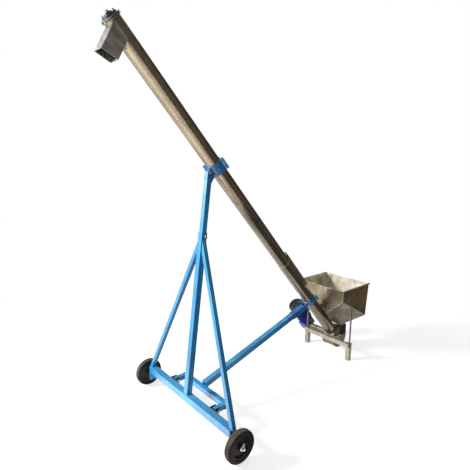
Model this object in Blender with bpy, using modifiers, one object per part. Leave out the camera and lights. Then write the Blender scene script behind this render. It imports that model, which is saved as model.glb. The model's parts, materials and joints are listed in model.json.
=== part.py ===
"""Mobile grain auger: inclined screw tube on a wheeled A-frame, hopper and boot at its low end.

Metres, +Z up. X runs from the discharge spout towards the hopper, Y along the wheel axle,
left is +Y and right is -Y. Sizes below are measured from a point on the ground straight
under the axle; the whole machine is then shifted so that its box is centred on the origin.
"""
import bpy
import bmesh
from math import atan2, cos, pi, radians, sin, tan
from mathutils import Matrix, Vector

# ---- clearances -------------------------------------------------------------------
GAP = 0.0003              # between two pieces that touch or are welded
SHAFT_RUN = 0.00005       # radial running fit of a turning shaft
SLIDE_PLAY = 0.0008       # mast tube in mast tube, each side
BOLT_PLAY = 0.0004        # radial, bolt in its hole
LINK_PLAY = 0.0020        # radial, drawbar pin in its slotted clamp lug

# ---- auger tube and screw ----------------------------------------------------------
AUGER_ANGLE = radians(48.0)
BOOT_X = 2.02             # drum axis, ahead of the axle
BOOT_Z = 0.16
AUGER_LENGTH = 3.80       # drum axis to the top end of the tube
TUBE_RADIUS = 0.060
TUBE_WALL = 0.002
TUBE_START = 0.095        # low end of the tube, from the drum axis
TUBE_JOINT = 1.13
SLEEVE_START = 0.92
SLEEVE_END = 1.346
SLEEVE_WALL = 0.003
SCREW_RADIUS = 0.053
SCREW_PITCH = 0.105
SCREW_START = 0.052
SCREW_TURNS = 34
FLIGHT_THICKNESS = 0.003
SHAFT_RADIUS = 0.0125

# ---- discharge end -------------------------------------------------------------------
FLANGE_RADIUS = 0.071
FLANGE_THICKNESS = 0.006
FLANGE_BORE = 0.026
GASKET_THICKNESS = 0.004
BEARING_PLATE_THICKNESS = 0.008
BEARING_SIZE = 0.086
BEARING_BASE = 0.012
BEARING_BOSS_RADIUS = 0.030
BEARING_HEIGHT = 0.026
BEARING_BOLT_CIRCLE = 0.043
BEARING_BOLT_RADIUS = 0.005
SPOUT_FROM_TOP = 0.065
SPOUT_TILT = radians(20.5)   # from the tube's normal, down the tube
SPOUT_DEPTH = 0.116
SPOUT_LENGTH = 0.195
SPOUT_HALF_WIDTH = 0.0555
SPOUT_WALL = 0.002

# ---- channel on the back of the tube -------------------------------------------------
CHANNEL_START = 0.890
CHANNEL_END = 1.390
CHANNEL_RADIUS = 0.032
CHANNEL_LIFT = 0.062         # its round centre line, from the tube's axis
CHANNEL_SIDE = 0.012         # and to the left of it
CHANNEL_WALL = 0.002

# ---- boot drum and drive ---------------------------------------------------------------
DRUM_RADIUS = 0.119
DRUM_WIDTH = 0.144
DRUM_WALL = 0.003
COVER_THICKNESS = 0.003
COVER_LIP = 0.004
TRUNNION_RADIUS = 0.010
DRIVE_PIPE_RADIUS = 0.030
DRIVE_PIPE_WALL = 0.0035
GEAR_CASE_HALF = 0.042
GEAR_CASE_WALL = 0.006
GEAR_TEETH = 16
GEAR_RADIUS = 0.030          # wide end of both mitre gears, and its distance from the other's axis
GEAR_WIDTH = 0.009
CROSS_SHAFT_RADIUS = 0.010
GEARBOX_Y = 0.410
GEARBOX_HALF = 0.055
GEARBOX_TOP = 0.075
MOTOR_LIFT = 0.036           # motor's axis above the cross shaft's
MOTOR_LENGTH = 0.210
MOTOR_RADIUS = 0.074
MOTOR_FIN = 0.012
MOTOR_FINS = 24
MOTOR_SHAFT_RADIUS = 0.012
FAN_COVER_LENGTH = 0.085
FAN_COVER_WALL = 0.002
FAN_RADIUS = 0.066
FAN_BLADES = 8
TERMINAL_BOX = Vector((0.045, 0.085, 0.105))
GLAND_RADIUS = 0.010

# ---- tube clamps -------------------------------------------------------------------------
UPPER_PIVOT = 2.592          # pivot pins along the tube, from the drum axis
LOWER_PIVOT = 0.716
UPPER_CLAMP = 2.577          # middles of the two bands
LOWER_CLAMP = 0.716
UPPER_CLAMP_WIDTH = 0.100
LOWER_CLAMP_WIDTH = 0.062
CLAMP_TURN = radians(32.0)   # ears, about the tube, from the machine's sides
CLAMP_THICKNESS = 0.005
CLAMP_EAR = 0.030
CLAMP_SPLIT = 0.0008
CLAMP_BOLT_RADIUS = 0.004
PIVOT_DROP = TUBE_RADIUS + 0.024   # pivot pins, below the tube's axis
PIN_RADIUS = 0.008
LUG_THICKNESS = 0.028
EYE_RADIUS = 0.0155
CHEEK_THICKNESS = 0.006
CHEEK_PLAY = 0.0012

# ---- A-frame ---------------------------------------------------------------------------------
BEAM_SIZE = 0.060
BEAM_Z = 0.186
BEAM_HALF = 0.585
TUBE_STOCK_WALL = 0.003
MAST_SIZE = 0.050
MAST_OUTER_TOP = 1.385       # along the mast, from the beam's centre
MAST_INNER_START = 0.750
STRUT_SIZE = 0.035
STRUT_FOOT_Y = BEAM_HALF + 0.001
STRUT_HEAD = 1.285           # along the mast, from the beam's centre
LOCK_BOSS_DROP = 0.030
LOCK_BOSS_RADIUS = 0.012
LOCK_BOSS_HEIGHT = 0.012
LOCK_SCREW_RADIUS = 0.006
END_PLATE_THICKNESS = 0.008
END_PLATE_DROP = 0.045       # below the axle

# ---- wheels ----------------------------------------------------------------------------------
WHEEL_RADIUS = 0.125
WHEEL_Y = BEAM_HALF + 0.081
TYRE_WIDTH = 0.050
TYRE_DEPTH = 0.036
HUB_WIDTH = 0.060
HUB_RADIUS = 0.022
AXLE_RADIUS = 0.010
AXLE_COLLAR_RADIUS = 0.016
CLIP_WIRE = 0.002
WASHER_THICKNESS = 0.002

# ---- drawbar ---------------------------------------------------------------------------------
HINGE_X = 0.075
CROSSBAR_X = 0.174
CROSSBAR_SIZE = 0.045
CROSSBAR_HALF = 0.312
ARM_SIZE = 0.040
ARM_Y = 0.290
ARM_NOSE = 0.018
LUG_WALL = 0.006
DRAWBAR_SIZE = 0.050
SLEEVE_TUBE_WALL = 0.004
SLEEVE_TUBE_LENGTH = 0.170
FORK_LENGTH = 0.050          # sleeve's end plate to the pin
SLEEVE_BOLT_RADIUS = 0.005

# ---- hopper and stand ---------------------------------------------------------------------------
HOPPER_FRONT_X = 1.729
HOPPER_BACK_X = 2.200
HOPPER_BACK_LEAN = 0.033
HOPPER_HALF = 0.285
HOPPER_TOP = 0.804
HOPPER_FRONT_DROP = 0.110
HOPPER_BACK_DROP = 0.354
HOPPER_V_SLOPE = 0.843
HOPPER_SHEET = 0.0025
HOPPER_LIP = 0.016
TUNNEL_CLEAR = 0.013         # each side of the tube, and above it
OUTLET_FRONT_X = 2.024
OUTLET_BACK_X = 2.120
OUTLET_BOTTOM = BOOT_Z + DRUM_RADIUS + 0.007
OUTLET_TOP = OUTLET_BOTTOM + 0.016
SEAL_WALL = 0.010
SEAL_PLAY = 0.0005
SEAL_BOTTOM = BOOT_Z + 0.012
SEAL_TUBE_CLEAR = 0.012
STAND_X = BOOT_X - DRUM_RADIUS - 0.0045   # the legs
STAND_SIZE = 0.045
STAND_BAR_X = STAND_X - 0.021   # the bar, on the front half of the legs
STAND_BAR_DEPTH = 0.035
STAND_TOP = 0.195
LEG_Y = 0.281
STAY_WIDTH = 0.025
STAY_THICKNESS = 0.005
STAY_X = STAND_X + 0.0005
STAY_TOP = 0.635
BRACKET_THICKNESS = 0.005
BRACKET_HEIGHT = 0.044

# ---- facets of round pieces --------------------------------------------------------------------
FINE = 40
ROUND = 32
SMALL = 16
HEX = 6

Y_AXIS = Vector((0.0, 1.0, 0.0))
TUBE_TILT = AUGER_ANGLE - pi / 2


def tube_point(up, lift=0.0, y=0.0):
    """Point at a distance up the tube from the drum axis, lifted off its axis, in machine axes."""
    x = BOOT_X - up * cos(AUGER_ANGLE) + lift * sin(AUGER_ANGLE)
    z = BOOT_Z + up * sin(AUGER_ANGLE) + lift * cos(AUGER_ANGLE)
    return Vector((x, y, z))


# ---- places worked out from the sizes --------------------------------------------------------
UPPER_PIN = tube_point(UPPER_PIVOT, -PIVOT_DROP)
LOWER_PIN = tube_point(LOWER_PIVOT, -PIVOT_DROP)
BOOT = tube_point(0.0)
MAST_FOOT = Vector((0.0, 0.0, BEAM_Z))
MAST_LEAN = atan2(UPPER_PIN.x - MAST_FOOT.x, UPPER_PIN.z - MAST_FOOT.z)
MAST_AXIS = Vector((sin(MAST_LEAN), 0.0, cos(MAST_LEAN)))
MAST_FACE = Vector((cos(MAST_LEAN), 0.0, -sin(MAST_LEAN)))
MAST_REACH = (UPPER_PIN - MAST_FOOT).length
HINGE = Vector((HINGE_X, 0.0, BEAM_Z))
BEAM_TOP = BEAM_Z + BEAM_SIZE / 2
AXLE_FACE_Y = BEAM_HALF + END_PLATE_THICKNESS + 2 * GAP
HUB_INNER_Y = WHEEL_Y - HUB_WIDTH / 2
HUB_OUTER_Y = WHEEL_Y + HUB_WIDTH / 2
COVER_FACE_Y = DRUM_WIDTH / 2 + GAP
COVER_OUTER_Y = COVER_FACE_Y + COVER_THICKNESS
SEAL_CHEEK_Y = COVER_OUTER_Y + SEAL_PLAY
BRACKET_Y = SEAL_CHEEK_Y + SEAL_WALL / 2 + 2 * GAP
GEARBOX_FACE_Y = GEARBOX_Y - GEARBOX_HALF
FLANGE_Z = AUGER_LENGTH + GAP
GASKET_Z = FLANGE_Z + FLANGE_THICKNESS + GAP
PLATE_Z = GASKET_Z + GASKET_THICKNESS + GAP
BEARING_Z = PLATE_Z + BEARING_PLATE_THICKNESS + GAP


def spout_lip_x():
    """Lowest X of the machine: the outer corner of the discharge spout's lip."""
    slant = Vector((-cos(SPOUT_TILT), 0.0, -sin(SPOUT_TILT)))
    across = Vector((-sin(SPOUT_TILT), 0.0, cos(SPOUT_TILT)))
    lip = SPOUT_LENGTH * slant + (SPOUT_DEPTH / 2 + SPOUT_WALL) * across
    return tube_point(AUGER_LENGTH - SPOUT_FROM_TOP + lip.z, lip.x).x


MACHINE_SHIFT = -(spout_lip_x() + HOPPER_BACK_X + HOPPER_LIP) / 2

# ---- scene, bodies and placing -----------------------------------------------------------------
for old in list(bpy.data.objects):
    bpy.data.objects.remove(old, do_unlink=True)

PARTS = bpy.data.collections.new("grain_auger")
CUTTERS = bpy.data.collections.new("cutters")
bpy.context.scene.collection.children.link(PARTS)
bpy.context.scene.collection.children.link(CUTTERS)

BODY = {}


def add_body(name, origin, parent=None):
    """Empty on a body's joint axis, in machine axes."""
    empty = bpy.data.objects.new(name + "_axis", None)
    empty.hide_render = True
    PARTS.objects.link(empty)
    base = BODY[parent][1] if parent else Vector((-MACHINE_SHIFT, 0.0, 0.0))
    if parent:
        empty.parent = BODY[parent][0]
    empty.location = Vector(origin) - base
    BODY[name] = (empty, Vector(origin))


def put(piece, body, at, rotation=(0.0, 0.0, 0.0)):
    """Parent a piece to its body and place it, at a point in machine axes."""
    empty, origin = BODY[body]
    piece.parent = empty
    piece.location = Vector(at) - origin
    piece.rotation_euler = rotation
    return piece


def material(name, colour, roughness, metallic):
    made = bpy.data.materials.new(name)
    made.use_nodes = True
    shader = made.node_tree.nodes["Principled BSDF"]
    shader.inputs["Base Color"].default_value = (*colour, 1.0)
    shader.inputs["Roughness"].default_value = roughness
    shader.inputs["Metallic"].default_value = metallic
    made.diffuse_color = (*colour, 1.0)
    return made


FRAME_BLUE = material("frame_blue", (0.10, 0.36, 0.66), 0.45, 0.0)
CLAMP_BLUE = material("clamp_blue", (0.03, 0.26, 0.58), 0.40, 0.0)
MOTOR_BLUE = material("motor_blue", (0.01, 0.05, 0.35), 0.45, 0.0)
STAINLESS = material("stainless", (0.50, 0.46, 0.38), 0.30, 1.0)
CAST_TEAL = material("cast_teal", (0.02, 0.08, 0.11), 0.50, 0.2)
ZINC = material("zinc", (0.62, 0.63, 0.62), 0.35, 1.0)
BARE_STEEL = material("bare_steel", (0.40, 0.40, 0.40), 0.40, 1.0)
BLACK_STEEL = material("black_steel", (0.02, 0.02, 0.03), 0.50, 0.0)
BLACK_PLASTIC = material("black_plastic", (0.015, 0.015, 0.017), 0.55, 0.0)
SEAL_RUBBER = material("seal_rubber", (0.012, 0.012, 0.012), 0.75, 0.0)
TYRE_RUBBER = material("tyre_rubber", (0.020, 0.018, 0.016), 0.80, 0.0)

# ---- mesh helpers ---------------------------------------------------------------------------


def block(low, high):
    """Box between two corners."""
    low, high = Vector(low), Vector(high)
    mesh = bmesh.new()
    bmesh.ops.create_cube(mesh, size=1.0)
    bmesh.ops.scale(mesh, vec=high - low, verts=mesh.verts)
    bmesh.ops.translate(mesh, vec=(low + high) / 2, verts=mesh.verts)
    return mesh


AXES = {"X": Matrix.Rotation(pi / 2, 3, "Y"), "Y": Matrix.Rotation(-pi / 2, 3, "X"), "Z": Matrix()}


def rod(radius, start, end, axis="Z", offset=(0.0, 0.0, 0.0), sides=SMALL):
    """Round bar along an axis, from start to end on it."""
    mesh = bmesh.new()
    bmesh.ops.create_cone(mesh, cap_ends=True, segments=sides, radius1=radius, radius2=radius,
                          depth=end - start)
    bmesh.ops.translate(mesh, vec=(0, 0, (start + end) / 2), verts=mesh.verts)
    bmesh.ops.rotate(mesh, matrix=AXES[axis].to_3x3(), verts=mesh.verts)
    bmesh.ops.translate(mesh, vec=offset, verts=mesh.verts)
    return mesh


def bore(radius, sides=SMALL):
    """Radius of a faceted hole whose flats clear a shaft of this radius."""
    return radius / cos(pi / sides)


def turned(profile, sides, axis="Z", offset=(0.0, 0.0, 0.0)):
    """Solid of revolution of an (radius, height) profile that starts and ends on the axis."""
    mesh = bmesh.new()
    points = [mesh.verts.new((radius, 0.0, height)) for radius, height in profile]
    edges = [mesh.edges.new(pair) for pair in zip(points, points[1:])]
    bmesh.ops.spin(mesh, geom=points + edges, cent=(0, 0, 0), axis=(0, 0, 1), angle=2 * pi,
                   steps=sides, use_merge=True)
    bmesh.ops.remove_doubles(mesh, verts=mesh.verts, dist=1e-6)
    bmesh.ops.recalc_face_normals(mesh, faces=mesh.faces)
    bmesh.ops.rotate(mesh, matrix=AXES[axis].to_3x3(), verts=mesh.verts)
    bmesh.ops.translate(mesh, vec=offset, verts=mesh.verts)
    return mesh


def merged(meshes):
    """One mesh that holds several separate solids."""
    whole = bmesh.new()
    for mesh in meshes:
        kept = bpy.data.meshes.new("scratch")
        mesh.to_mesh(kept)
        mesh.free()
        whole.from_mesh(kept)
        bpy.data.meshes.remove(kept)
    return whole


def to_object(name, mesh, collection):
    data = bpy.data.meshes.new(name)
    mesh.to_mesh(data)
    mesh.free()
    made = bpy.data.objects.new(name, data)
    collection.objects.link(made)
    return made


def piece(name, mesh, finish, smooth=False):
    made = to_object(name, mesh, PARTS)
    made.data.materials.append(finish)
    if smooth:
        made.data.shade_smooth()
        made.data.set_sharp_from_angle(angle=radians(35))
    return made


def combine(target, mesh, operation):
    """Boolean with a hidden cutter given in the target's own axes."""
    cutter = to_object(target.name + "_" + operation.lower(), mesh, CUTTERS)
    cutter.display_type = "WIRE"
    cutter.hide_render = True
    cutter.parent = target.parent
    cutter.location = target.location
    cutter.rotation_euler = target.rotation_euler
    change = target.modifiers.new(operation.lower(), "BOOLEAN")
    change.operation = operation
    change.solver = "EXACT"
    change.object = cutter
    return target


def cut(target, mesh):
    return combine(target, mesh, "DIFFERENCE")


def fuse(target, mesh):
    return combine(target, mesh, "UNION")


def turned_ring(name, inner, outer, low, high, finish, sides=ROUND):
    """Round tube along local Z, made by a Screw modifier on its section."""
    section = bmesh.new()
    corners = [(outer, high), (outer, low), (inner, low), (inner, high)]
    points = [section.verts.new((radius, 0.0, height)) for radius, height in corners]
    for first, second in zip(points, points[1:] + points[:1]):
        section.edges.new((first, second))
    made = piece(name, section, finish)
    add_screw(made, sides)
    return made


def add_screw(made, sides):
    screw = made.modifiers.new("turned", "SCREW")
    screw.axis = "Z"
    screw.angle = 2 * pi
    screw.steps = sides
    screw.render_steps = sides
    screw.use_merge_vertices = True
    screw.merge_threshold = 0.00001
    screw.use_smooth_shade = True


def hex_bolt(shank, start, end, head, head_at, nut_at, axis="Z", offset=(0.0, 0.0, 0.0)):
    """Bolt with its nut; start and end are its tips, and head and nut sit outside what it holds."""
    depth = head * 0.75
    profile = [(0.0, end), (shank, end), (shank, nut_at + depth), (head, nut_at + depth),
               (head, nut_at), (shank, nut_at), (shank, head_at), (head, head_at),
               (head, start), (0.0, start)]
    return turned(profile, HEX, axis, offset)


def stock(size, length, trims=(None, None), wall=0.0, reach=0.0):
    """Square bar along local Z; trims are planes (point, normal) in local axes for its two ends."""
    half = size / 2 - wall
    mesh = block((-half, -half, -reach), (half, half, length + reach))
    for vertex in mesh.verts:
        trim = trims[0] if vertex.co.z < length / 2 else trims[1]
        if trim:
            point, normal = trim
            flat = Vector((vertex.co.x, vertex.co.y, 0.0))
            vertex.co.z = (point - flat).dot(normal) / normal.z
    return mesh


def square_tube(name, body, start, end, size, side, finish, trims=(None, None)):
    """Hollow square tube between two points, its local X towards side, mitred to trim planes."""
    start, end = Vector(start), Vector(end)
    axis = (end - start).normalized()
    across = (side - axis * side.dot(axis)).normalized()
    basis = Matrix((across, axis.cross(across), axis)).transposed()
    inverse = basis.transposed()
    local = [trim and (inverse @ (Vector(trim[0]) - start), inverse @ Vector(trim[1])) for trim in trims]
    length = (end - start).length
    tube = piece(name, stock(size, length, local), finish)
    put(tube, body, start, basis.to_euler())
    cut(tube, stock(size, length, wall=TUBE_STOCK_WALL, reach=3 * size))
    return tube


# ---- the bodies, each empty on its joint's axis ---------------------------------------------
def make_bodies():
    add_body("frame", (0.0, 0.0, 0.0))
    add_body("mast", MAST_FOOT + MAST_AXIS * MAST_OUTER_TOP, "frame")
    add_body("lock_screw", lock_point(), "frame")
    add_body("auger", UPPER_PIN, "mast")
    add_body("screw", BOOT, "auger")
    add_body("cross_drive", BOOT, "auger")
    add_body("rotor", tube_point(GEARBOX_TOP, MOTOR_LIFT, GEARBOX_Y), "auger")
    add_body("hopper", BOOT, "auger")
    add_body("drawbar", HINGE, "frame")
    add_body("wheel_left", (0.0, WHEEL_Y, WHEEL_RADIUS), "frame")
    add_body("wheel_right", (0.0, -WHEEL_Y, WHEEL_RADIUS), "frame")


def lock_point():
    return MAST_FOOT + MAST_AXIS * (MAST_OUTER_TOP - LOCK_BOSS_DROP)


# ---- A-frame ------------------------------------------------------------------------------------
def make_axle_beam():
    square_tube("axle_beam", "frame", (0, -BEAM_HALF, BEAM_Z), (0, BEAM_HALF, BEAM_Z), BEAM_SIZE,
                Vector((1, 0, 0)), FRAME_BLUE)


def make_axle_end(side, hand):
    inner = BEAM_HALF + GAP
    plate = block((-BEAM_SIZE / 2, inner, WHEEL_RADIUS - END_PLATE_DROP),
                  (BEAM_SIZE / 2, inner + END_PLATE_THICKNESS, BEAM_TOP))
    stub_tip = HUB_OUTER_Y + WASHER_THICKNESS + 2 * GAP + 0.020
    stub = turned([(0.0, stub_tip), (AXLE_RADIUS, stub_tip), (AXLE_RADIUS, HUB_INNER_Y - GAP),
                   (AXLE_COLLAR_RADIUS, HUB_INNER_Y - GAP), (AXLE_COLLAR_RADIUS, AXLE_FACE_Y),
                   (0.0, AXLE_FACE_Y)], SMALL, "Y", (0, 0, WHEEL_RADIUS))
    for mesh in (plate, stub):
        if hand < 0:
            bmesh.ops.scale(mesh, vec=(1, -1, 1), verts=mesh.verts)
            bmesh.ops.reverse_faces(mesh, faces=mesh.faces)
    put(piece("end_plate_" + side, plate, FRAME_BLUE), "frame", (0, 0, 0))
    axle = put(piece("stub_axle_" + side, stub, ZINC, smooth=True), "frame", (0, 0, 0))
    hole = rod(CLIP_WIRE + BOLT_PLAY, WHEEL_RADIUS - 0.03, WHEEL_RADIUS + 0.03, "Z",
               (0, hand * clip_y(), 0), sides=12)
    cut(axle, hole)


def clip_y():
    return HUB_OUTER_Y + GAP + WASHER_THICKNESS + GAP + 2 * CLIP_WIRE + BOLT_PLAY


def clip_path():
    """Spring clip: straight leg through the axle, ring above it, outer arm hugging the axle."""
    ring = 0.0085
    neck = AXLE_RADIUS + 0.012
    points = [Vector((0.0, 0.0, height)) for height in (-0.018, -0.006, 0.006, neck)]
    centre = Vector((ring, 0.0, neck + 0.006))
    for step in range(1, 15):
        angle = pi + 0.45 - step * (2 * pi - 1.1) / 14
        points.append(centre + Vector((ring * cos(angle), 0.0, ring * sin(angle))))
    hug = AXLE_RADIUS + CLIP_WIRE + 2 * GAP
    for step in range(7):
        angle = radians(50) - step * radians(100) / 6
        points.append(Vector((hug * cos(angle), 0.0, hug * sin(angle))))
    return points


def make_clip(side, hand):
    """Washer and spring clip that keep a wheel on its axle."""
    curve = bpy.data.curves.new("clip_wire", "CURVE")
    curve.dimensions = "3D"
    curve.bevel_depth = CLIP_WIRE
    curve.bevel_resolution = 1
    curve.use_fill_caps = True
    path = clip_path()
    spline = curve.splines.new("POLY")
    spline.points.add(len(path) - 1)
    for target, point in zip(spline.points, path):
        target.co = (*point, 1.0)
    clip = bpy.data.objects.new("axle_clip_" + side, curve)
    PARTS.objects.link(clip)
    clip.data.materials.append(ZINC)
    put(clip, "frame", (0, hand * clip_y(), WHEEL_RADIUS))
    middle = hand * (HUB_OUTER_Y + GAP + WASHER_THICKNESS / 2)
    washer = turned_ring("axle_washer_" + side, bore(AXLE_RADIUS + BOLT_PLAY), AXLE_RADIUS + 0.009,
                         -WASHER_THICKNESS / 2, WASHER_THICKNESS / 2, ZINC, SMALL)
    put(washer, "frame", (0, middle, WHEEL_RADIUS), (-pi / 2, 0.0, 0.0))


def make_mast_outer():
    foot_plane = ((0, 0, BEAM_TOP + GAP), (0, 0, 1))
    mast = square_tube("mast_outer", "frame", MAST_FOOT, MAST_FOOT + MAST_AXIS * MAST_OUTER_TOP,
                       MAST_SIZE, MAST_FACE, FRAME_BLUE, (foot_plane, None))
    height = MAST_OUTER_TOP - LOCK_BOSS_DROP
    face = MAST_SIZE / 2
    fuse(mast, rod(LOCK_BOSS_RADIUS, -face - LOCK_BOSS_HEIGHT, -face + TUBE_STOCK_WALL / 2, "Y",
                   (0, 0, height), HEX))
    cut(mast, rod(LOCK_SCREW_RADIUS + BOLT_PLAY, -2 * MAST_SIZE, -face / 2, "Y", (0, 0, height)))


def make_strut(side, hand):
    foot = Vector((0.0, hand * STRUT_FOOT_Y, BEAM_TOP))
    head = MAST_FOOT + MAST_AXIS * STRUT_HEAD
    head.y = hand * MAST_SIZE / 2
    foot_plane = ((0, 0, BEAM_TOP + GAP), (0, 0, 1))
    head_plane = ((0, hand * (MAST_SIZE / 2 + GAP), 0), (0, 1, 0))
    foot.x = (foot.z - MAST_FOOT.z) * tan(MAST_LEAN)
    square_tube("strut_" + side, "frame", foot, head, STRUT_SIZE, MAST_FACE, FRAME_BLUE,
                (foot_plane, head_plane))


def make_hinge_lug(side, hand):
    face = BEAM_SIZE / 2 + GAP
    half = ARM_SIZE / 2 + CHEEK_PLAY + LUG_WALL
    gapped = ARM_SIZE / 2 + CHEEK_PLAY
    tall = BEAM_SIZE / 2 - 0.004
    lug = piece("hinge_lug_" + side, block((face, -half, -tall), (HINGE_X + 0.018, half, tall)), BLACK_STEEL)
    put(lug, "frame", (0, hand * ARM_Y, BEAM_Z))
    cut(lug, block((face + LUG_WALL, -gapped, -2 * tall), (HINGE_X + 0.1, gapped, 2 * tall)))
    cut(lug, rod(PIN_RADIUS + BOLT_PLAY, -2 * half, 2 * half, "Y", (HINGE_X, 0, 0)))


def make_hinge_pin(side, hand):
    grip = ARM_SIZE / 2 + CHEEK_PLAY + LUG_WALL + GAP
    head = PIN_RADIUS * 1.6
    pin = hex_bolt(PIN_RADIUS, -grip - 0.012, grip + 0.016, head, -grip, grip, "Y")
    put(piece("hinge_pin_" + side, pin, ZINC), "frame", (HINGE_X, hand * ARM_Y, BEAM_Z))


# ---- telescopic mast -------------------------------------------------------------------------------
def make_mast_inner():
    size = MAST_SIZE - 2 * TUBE_STOCK_WALL - 2 * SLIDE_PLAY
    top = MAST_REACH - FORK_LENGTH - GAP
    return square_tube("mast_inner", "mast", MAST_FOOT + MAST_AXIS * MAST_INNER_START,
                       MAST_FOOT + MAST_AXIS * top, size, MAST_FACE, FRAME_BLUE)


def plate_shape(outline, low, high):
    """Flat plate: an outline in local X and Z, extruded along Y."""
    mesh = bmesh.new()
    face = mesh.faces.new([mesh.verts.new((x, low, z)) for x, z in outline])
    grown = bmesh.ops.extrude_face_region(mesh, geom=[face])
    moved = [item for item in grown["geom"] if isinstance(item, bmesh.types.BMVert)]
    bmesh.ops.translate(mesh, vec=(0, high - low, 0), verts=moved)
    bmesh.ops.recalc_face_normals(mesh, faces=mesh.faces)
    return mesh


def fork(name, body, at, rotation, half, outline, web):
    """End plate with two cheeks that carry a pivot pin; the pin is at the local origin, Z is up."""
    inner = LUG_THICKNESS / 2 + CHEEK_PLAY
    outer = inner + CHEEK_THICKNESS
    plate_top = -FORK_LENGTH + CHEEK_THICKNESS
    made = piece(name, block((-half, -half, -FORK_LENGTH), (half, half, plate_top)), CLAMP_BLUE)
    put(made, body, at, rotation)
    fuse(made, plate_shape(outline, -outer, outer))
    fuse(made, rod(EYE_RADIUS, -outer, outer, "Y", sides=24))
    cut(made, block((-half + web, -inner, plate_top), (0.2, inner, 0.2)))
    cut(made, rod(PIN_RADIUS + BOLT_PLAY, -0.1, 0.1, "Y"))
    return made


def pivot_bolt():
    """Bolt through a fork and the clamp lug in it, along local Y through the origin."""
    grip = LUG_THICKNESS / 2 + CHEEK_PLAY + CHEEK_THICKNESS + GAP
    return hex_bolt(PIN_RADIUS, -grip - 0.008, grip + 0.015, PIN_RADIUS * 1.6, -grip, grip, "Y")


def make_mast_head():
    tilt = (0.0, MAST_LEAN, 0.0)
    half = MAST_SIZE / 2 - TUBE_STOCK_WALL - SLIDE_PLAY + GAP
    wing = half + GAP
    foot = -FORK_LENGTH + CHEEK_THICKNESS / 3
    outline = [(GAP - half, foot), (GAP - half, 0.006), (-0.004, 0.0155), (0.004, 0.0135),
               (0.050, -0.026), (wing, -FORK_LENGTH - 0.035), (wing, foot)]
    fork("mast_head", "mast", UPPER_PIN, tilt, half, outline, CHEEK_THICKNESS - 0.002)
    put(piece("mast_head_pin", pivot_bolt(), ZINC), "mast", UPPER_PIN, tilt)


def make_lock_screw():
    face = MAST_SIZE / 2
    tip = MAST_SIZE / 2 - TUBE_STOCK_WALL - SLIDE_PLAY + GAP
    seat = face + LOCK_BOSS_HEIGHT
    head = LOCK_SCREW_RADIUS * 1.7
    profile = [(0.0, -tip), (LOCK_SCREW_RADIUS, -tip), (LOCK_SCREW_RADIUS, -seat - 0.010),
               (head, -seat - 0.010), (head, -seat - 0.018), (0.0, -seat - 0.018)]
    put(piece("mast_lock_screw", turned(profile, HEX, "Y"), ZINC), "lock_screw", lock_point(),
        (0.0, MAST_LEAN, 0.0))


# ---- auger tube --------------------------------------------------------------------------------------
TUBE_TURN = (0.0, TUBE_TILT, 0.0)


def on_tube(made, body="auger", y=0.0, lift=0.0):
    """Place a piece whose mesh is in the tube's axes: Z up the tube, X off its back, origin at the boot."""
    return put(made, body, tube_point(0.0, lift, y), TUBE_TURN)


def on_motor(made, body="auger"):
    return on_tube(made, body, GEARBOX_Y, MOTOR_LIFT)


def make_tubes():
    inner = TUBE_RADIUS - TUBE_WALL
    on_tube(turned_ring("auger_tube_lower", inner, TUBE_RADIUS, TUBE_START, TUBE_JOINT, STAINLESS))
    upper = on_tube(turned_ring("auger_tube_upper", inner, TUBE_RADIUS, TUBE_JOINT + GAP, AUGER_LENGTH,
                                STAINLESS))
    cut(upper, spout_box(SPOUT_DEPTH / 2 - 0.012, SPOUT_HALF_WIDTH - 0.008, 0.030, 0.15))
    on_tube(turned_ring("tube_sleeve", TUBE_RADIUS + GAP, TUBE_RADIUS + GAP + SLEEVE_WALL, SLEEVE_START,
                        SLEEVE_END, STAINLESS))


def spout_box(depth_half, width_half, near, far):
    """Slanted box along the spout, from near to far below the tube's axis, in the tube's axes."""
    mesh = block((-far, -width_half, -depth_half), (-near, width_half, depth_half))
    turn = Matrix.Rotation(-SPOUT_TILT, 3, "Y")
    bmesh.ops.rotate(mesh, matrix=turn, verts=mesh.verts)
    bmesh.ops.translate(mesh, vec=(0, 0, AUGER_LENGTH - SPOUT_FROM_TOP), verts=mesh.verts)
    return mesh


def make_spout():
    width = SPOUT_HALF_WIDTH
    outer = spout_box(SPOUT_DEPTH / 2 + SPOUT_WALL, width + SPOUT_WALL, -0.060, SPOUT_LENGTH)
    spout = on_tube(piece("discharge_spout", outer, STAINLESS))
    cut(spout, spout_box(SPOUT_DEPTH / 2, width, -0.10, SPOUT_LENGTH + 0.10))
    middle = AUGER_LENGTH - SPOUT_FROM_TOP
    cut(spout, block((0.0, -0.2, middle - 0.3), (0.3, 0.2, middle + 0.3)))
    cut(spout, rod(TUBE_RADIUS + GAP, middle - 0.3, middle + 0.3, sides=ROUND))


def make_screw():
    top = BEARING_Z + BEARING_HEIGHT + 0.012
    shaft = rod(SHAFT_RADIUS, GEAR_RADIUS - GEAR_WIDTH, top, sides=SMALL)
    made = on_tube(piece("screw_shaft", shaft, BARE_STEEL, smooth=True), "screw")
    fuse(made, mitre_gear())
    flight = bmesh.new()
    root = flight.verts.new((bore(SHAFT_RADIUS + 2 * GAP, 12), 0.0, SCREW_START))
    edge = flight.verts.new((SCREW_RADIUS, 0.0, SCREW_START))
    flight.edges.new((root, edge))
    made = on_tube(piece("screw_flight", flight, BARE_STEEL), "screw")
    helix = made.modifiers.new("helix", "SCREW")
    helix.axis = "Z"
    helix.angle = 2 * pi
    helix.steps = 12
    helix.render_steps = 12
    helix.screw_offset = SCREW_PITCH
    helix.iterations = SCREW_TURNS
    helix.use_merge_vertices = False
    sheet = made.modifiers.new("sheet", "SOLIDIFY")
    sheet.thickness = FLIGHT_THICKNESS
    sheet.offset = 0.0


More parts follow.
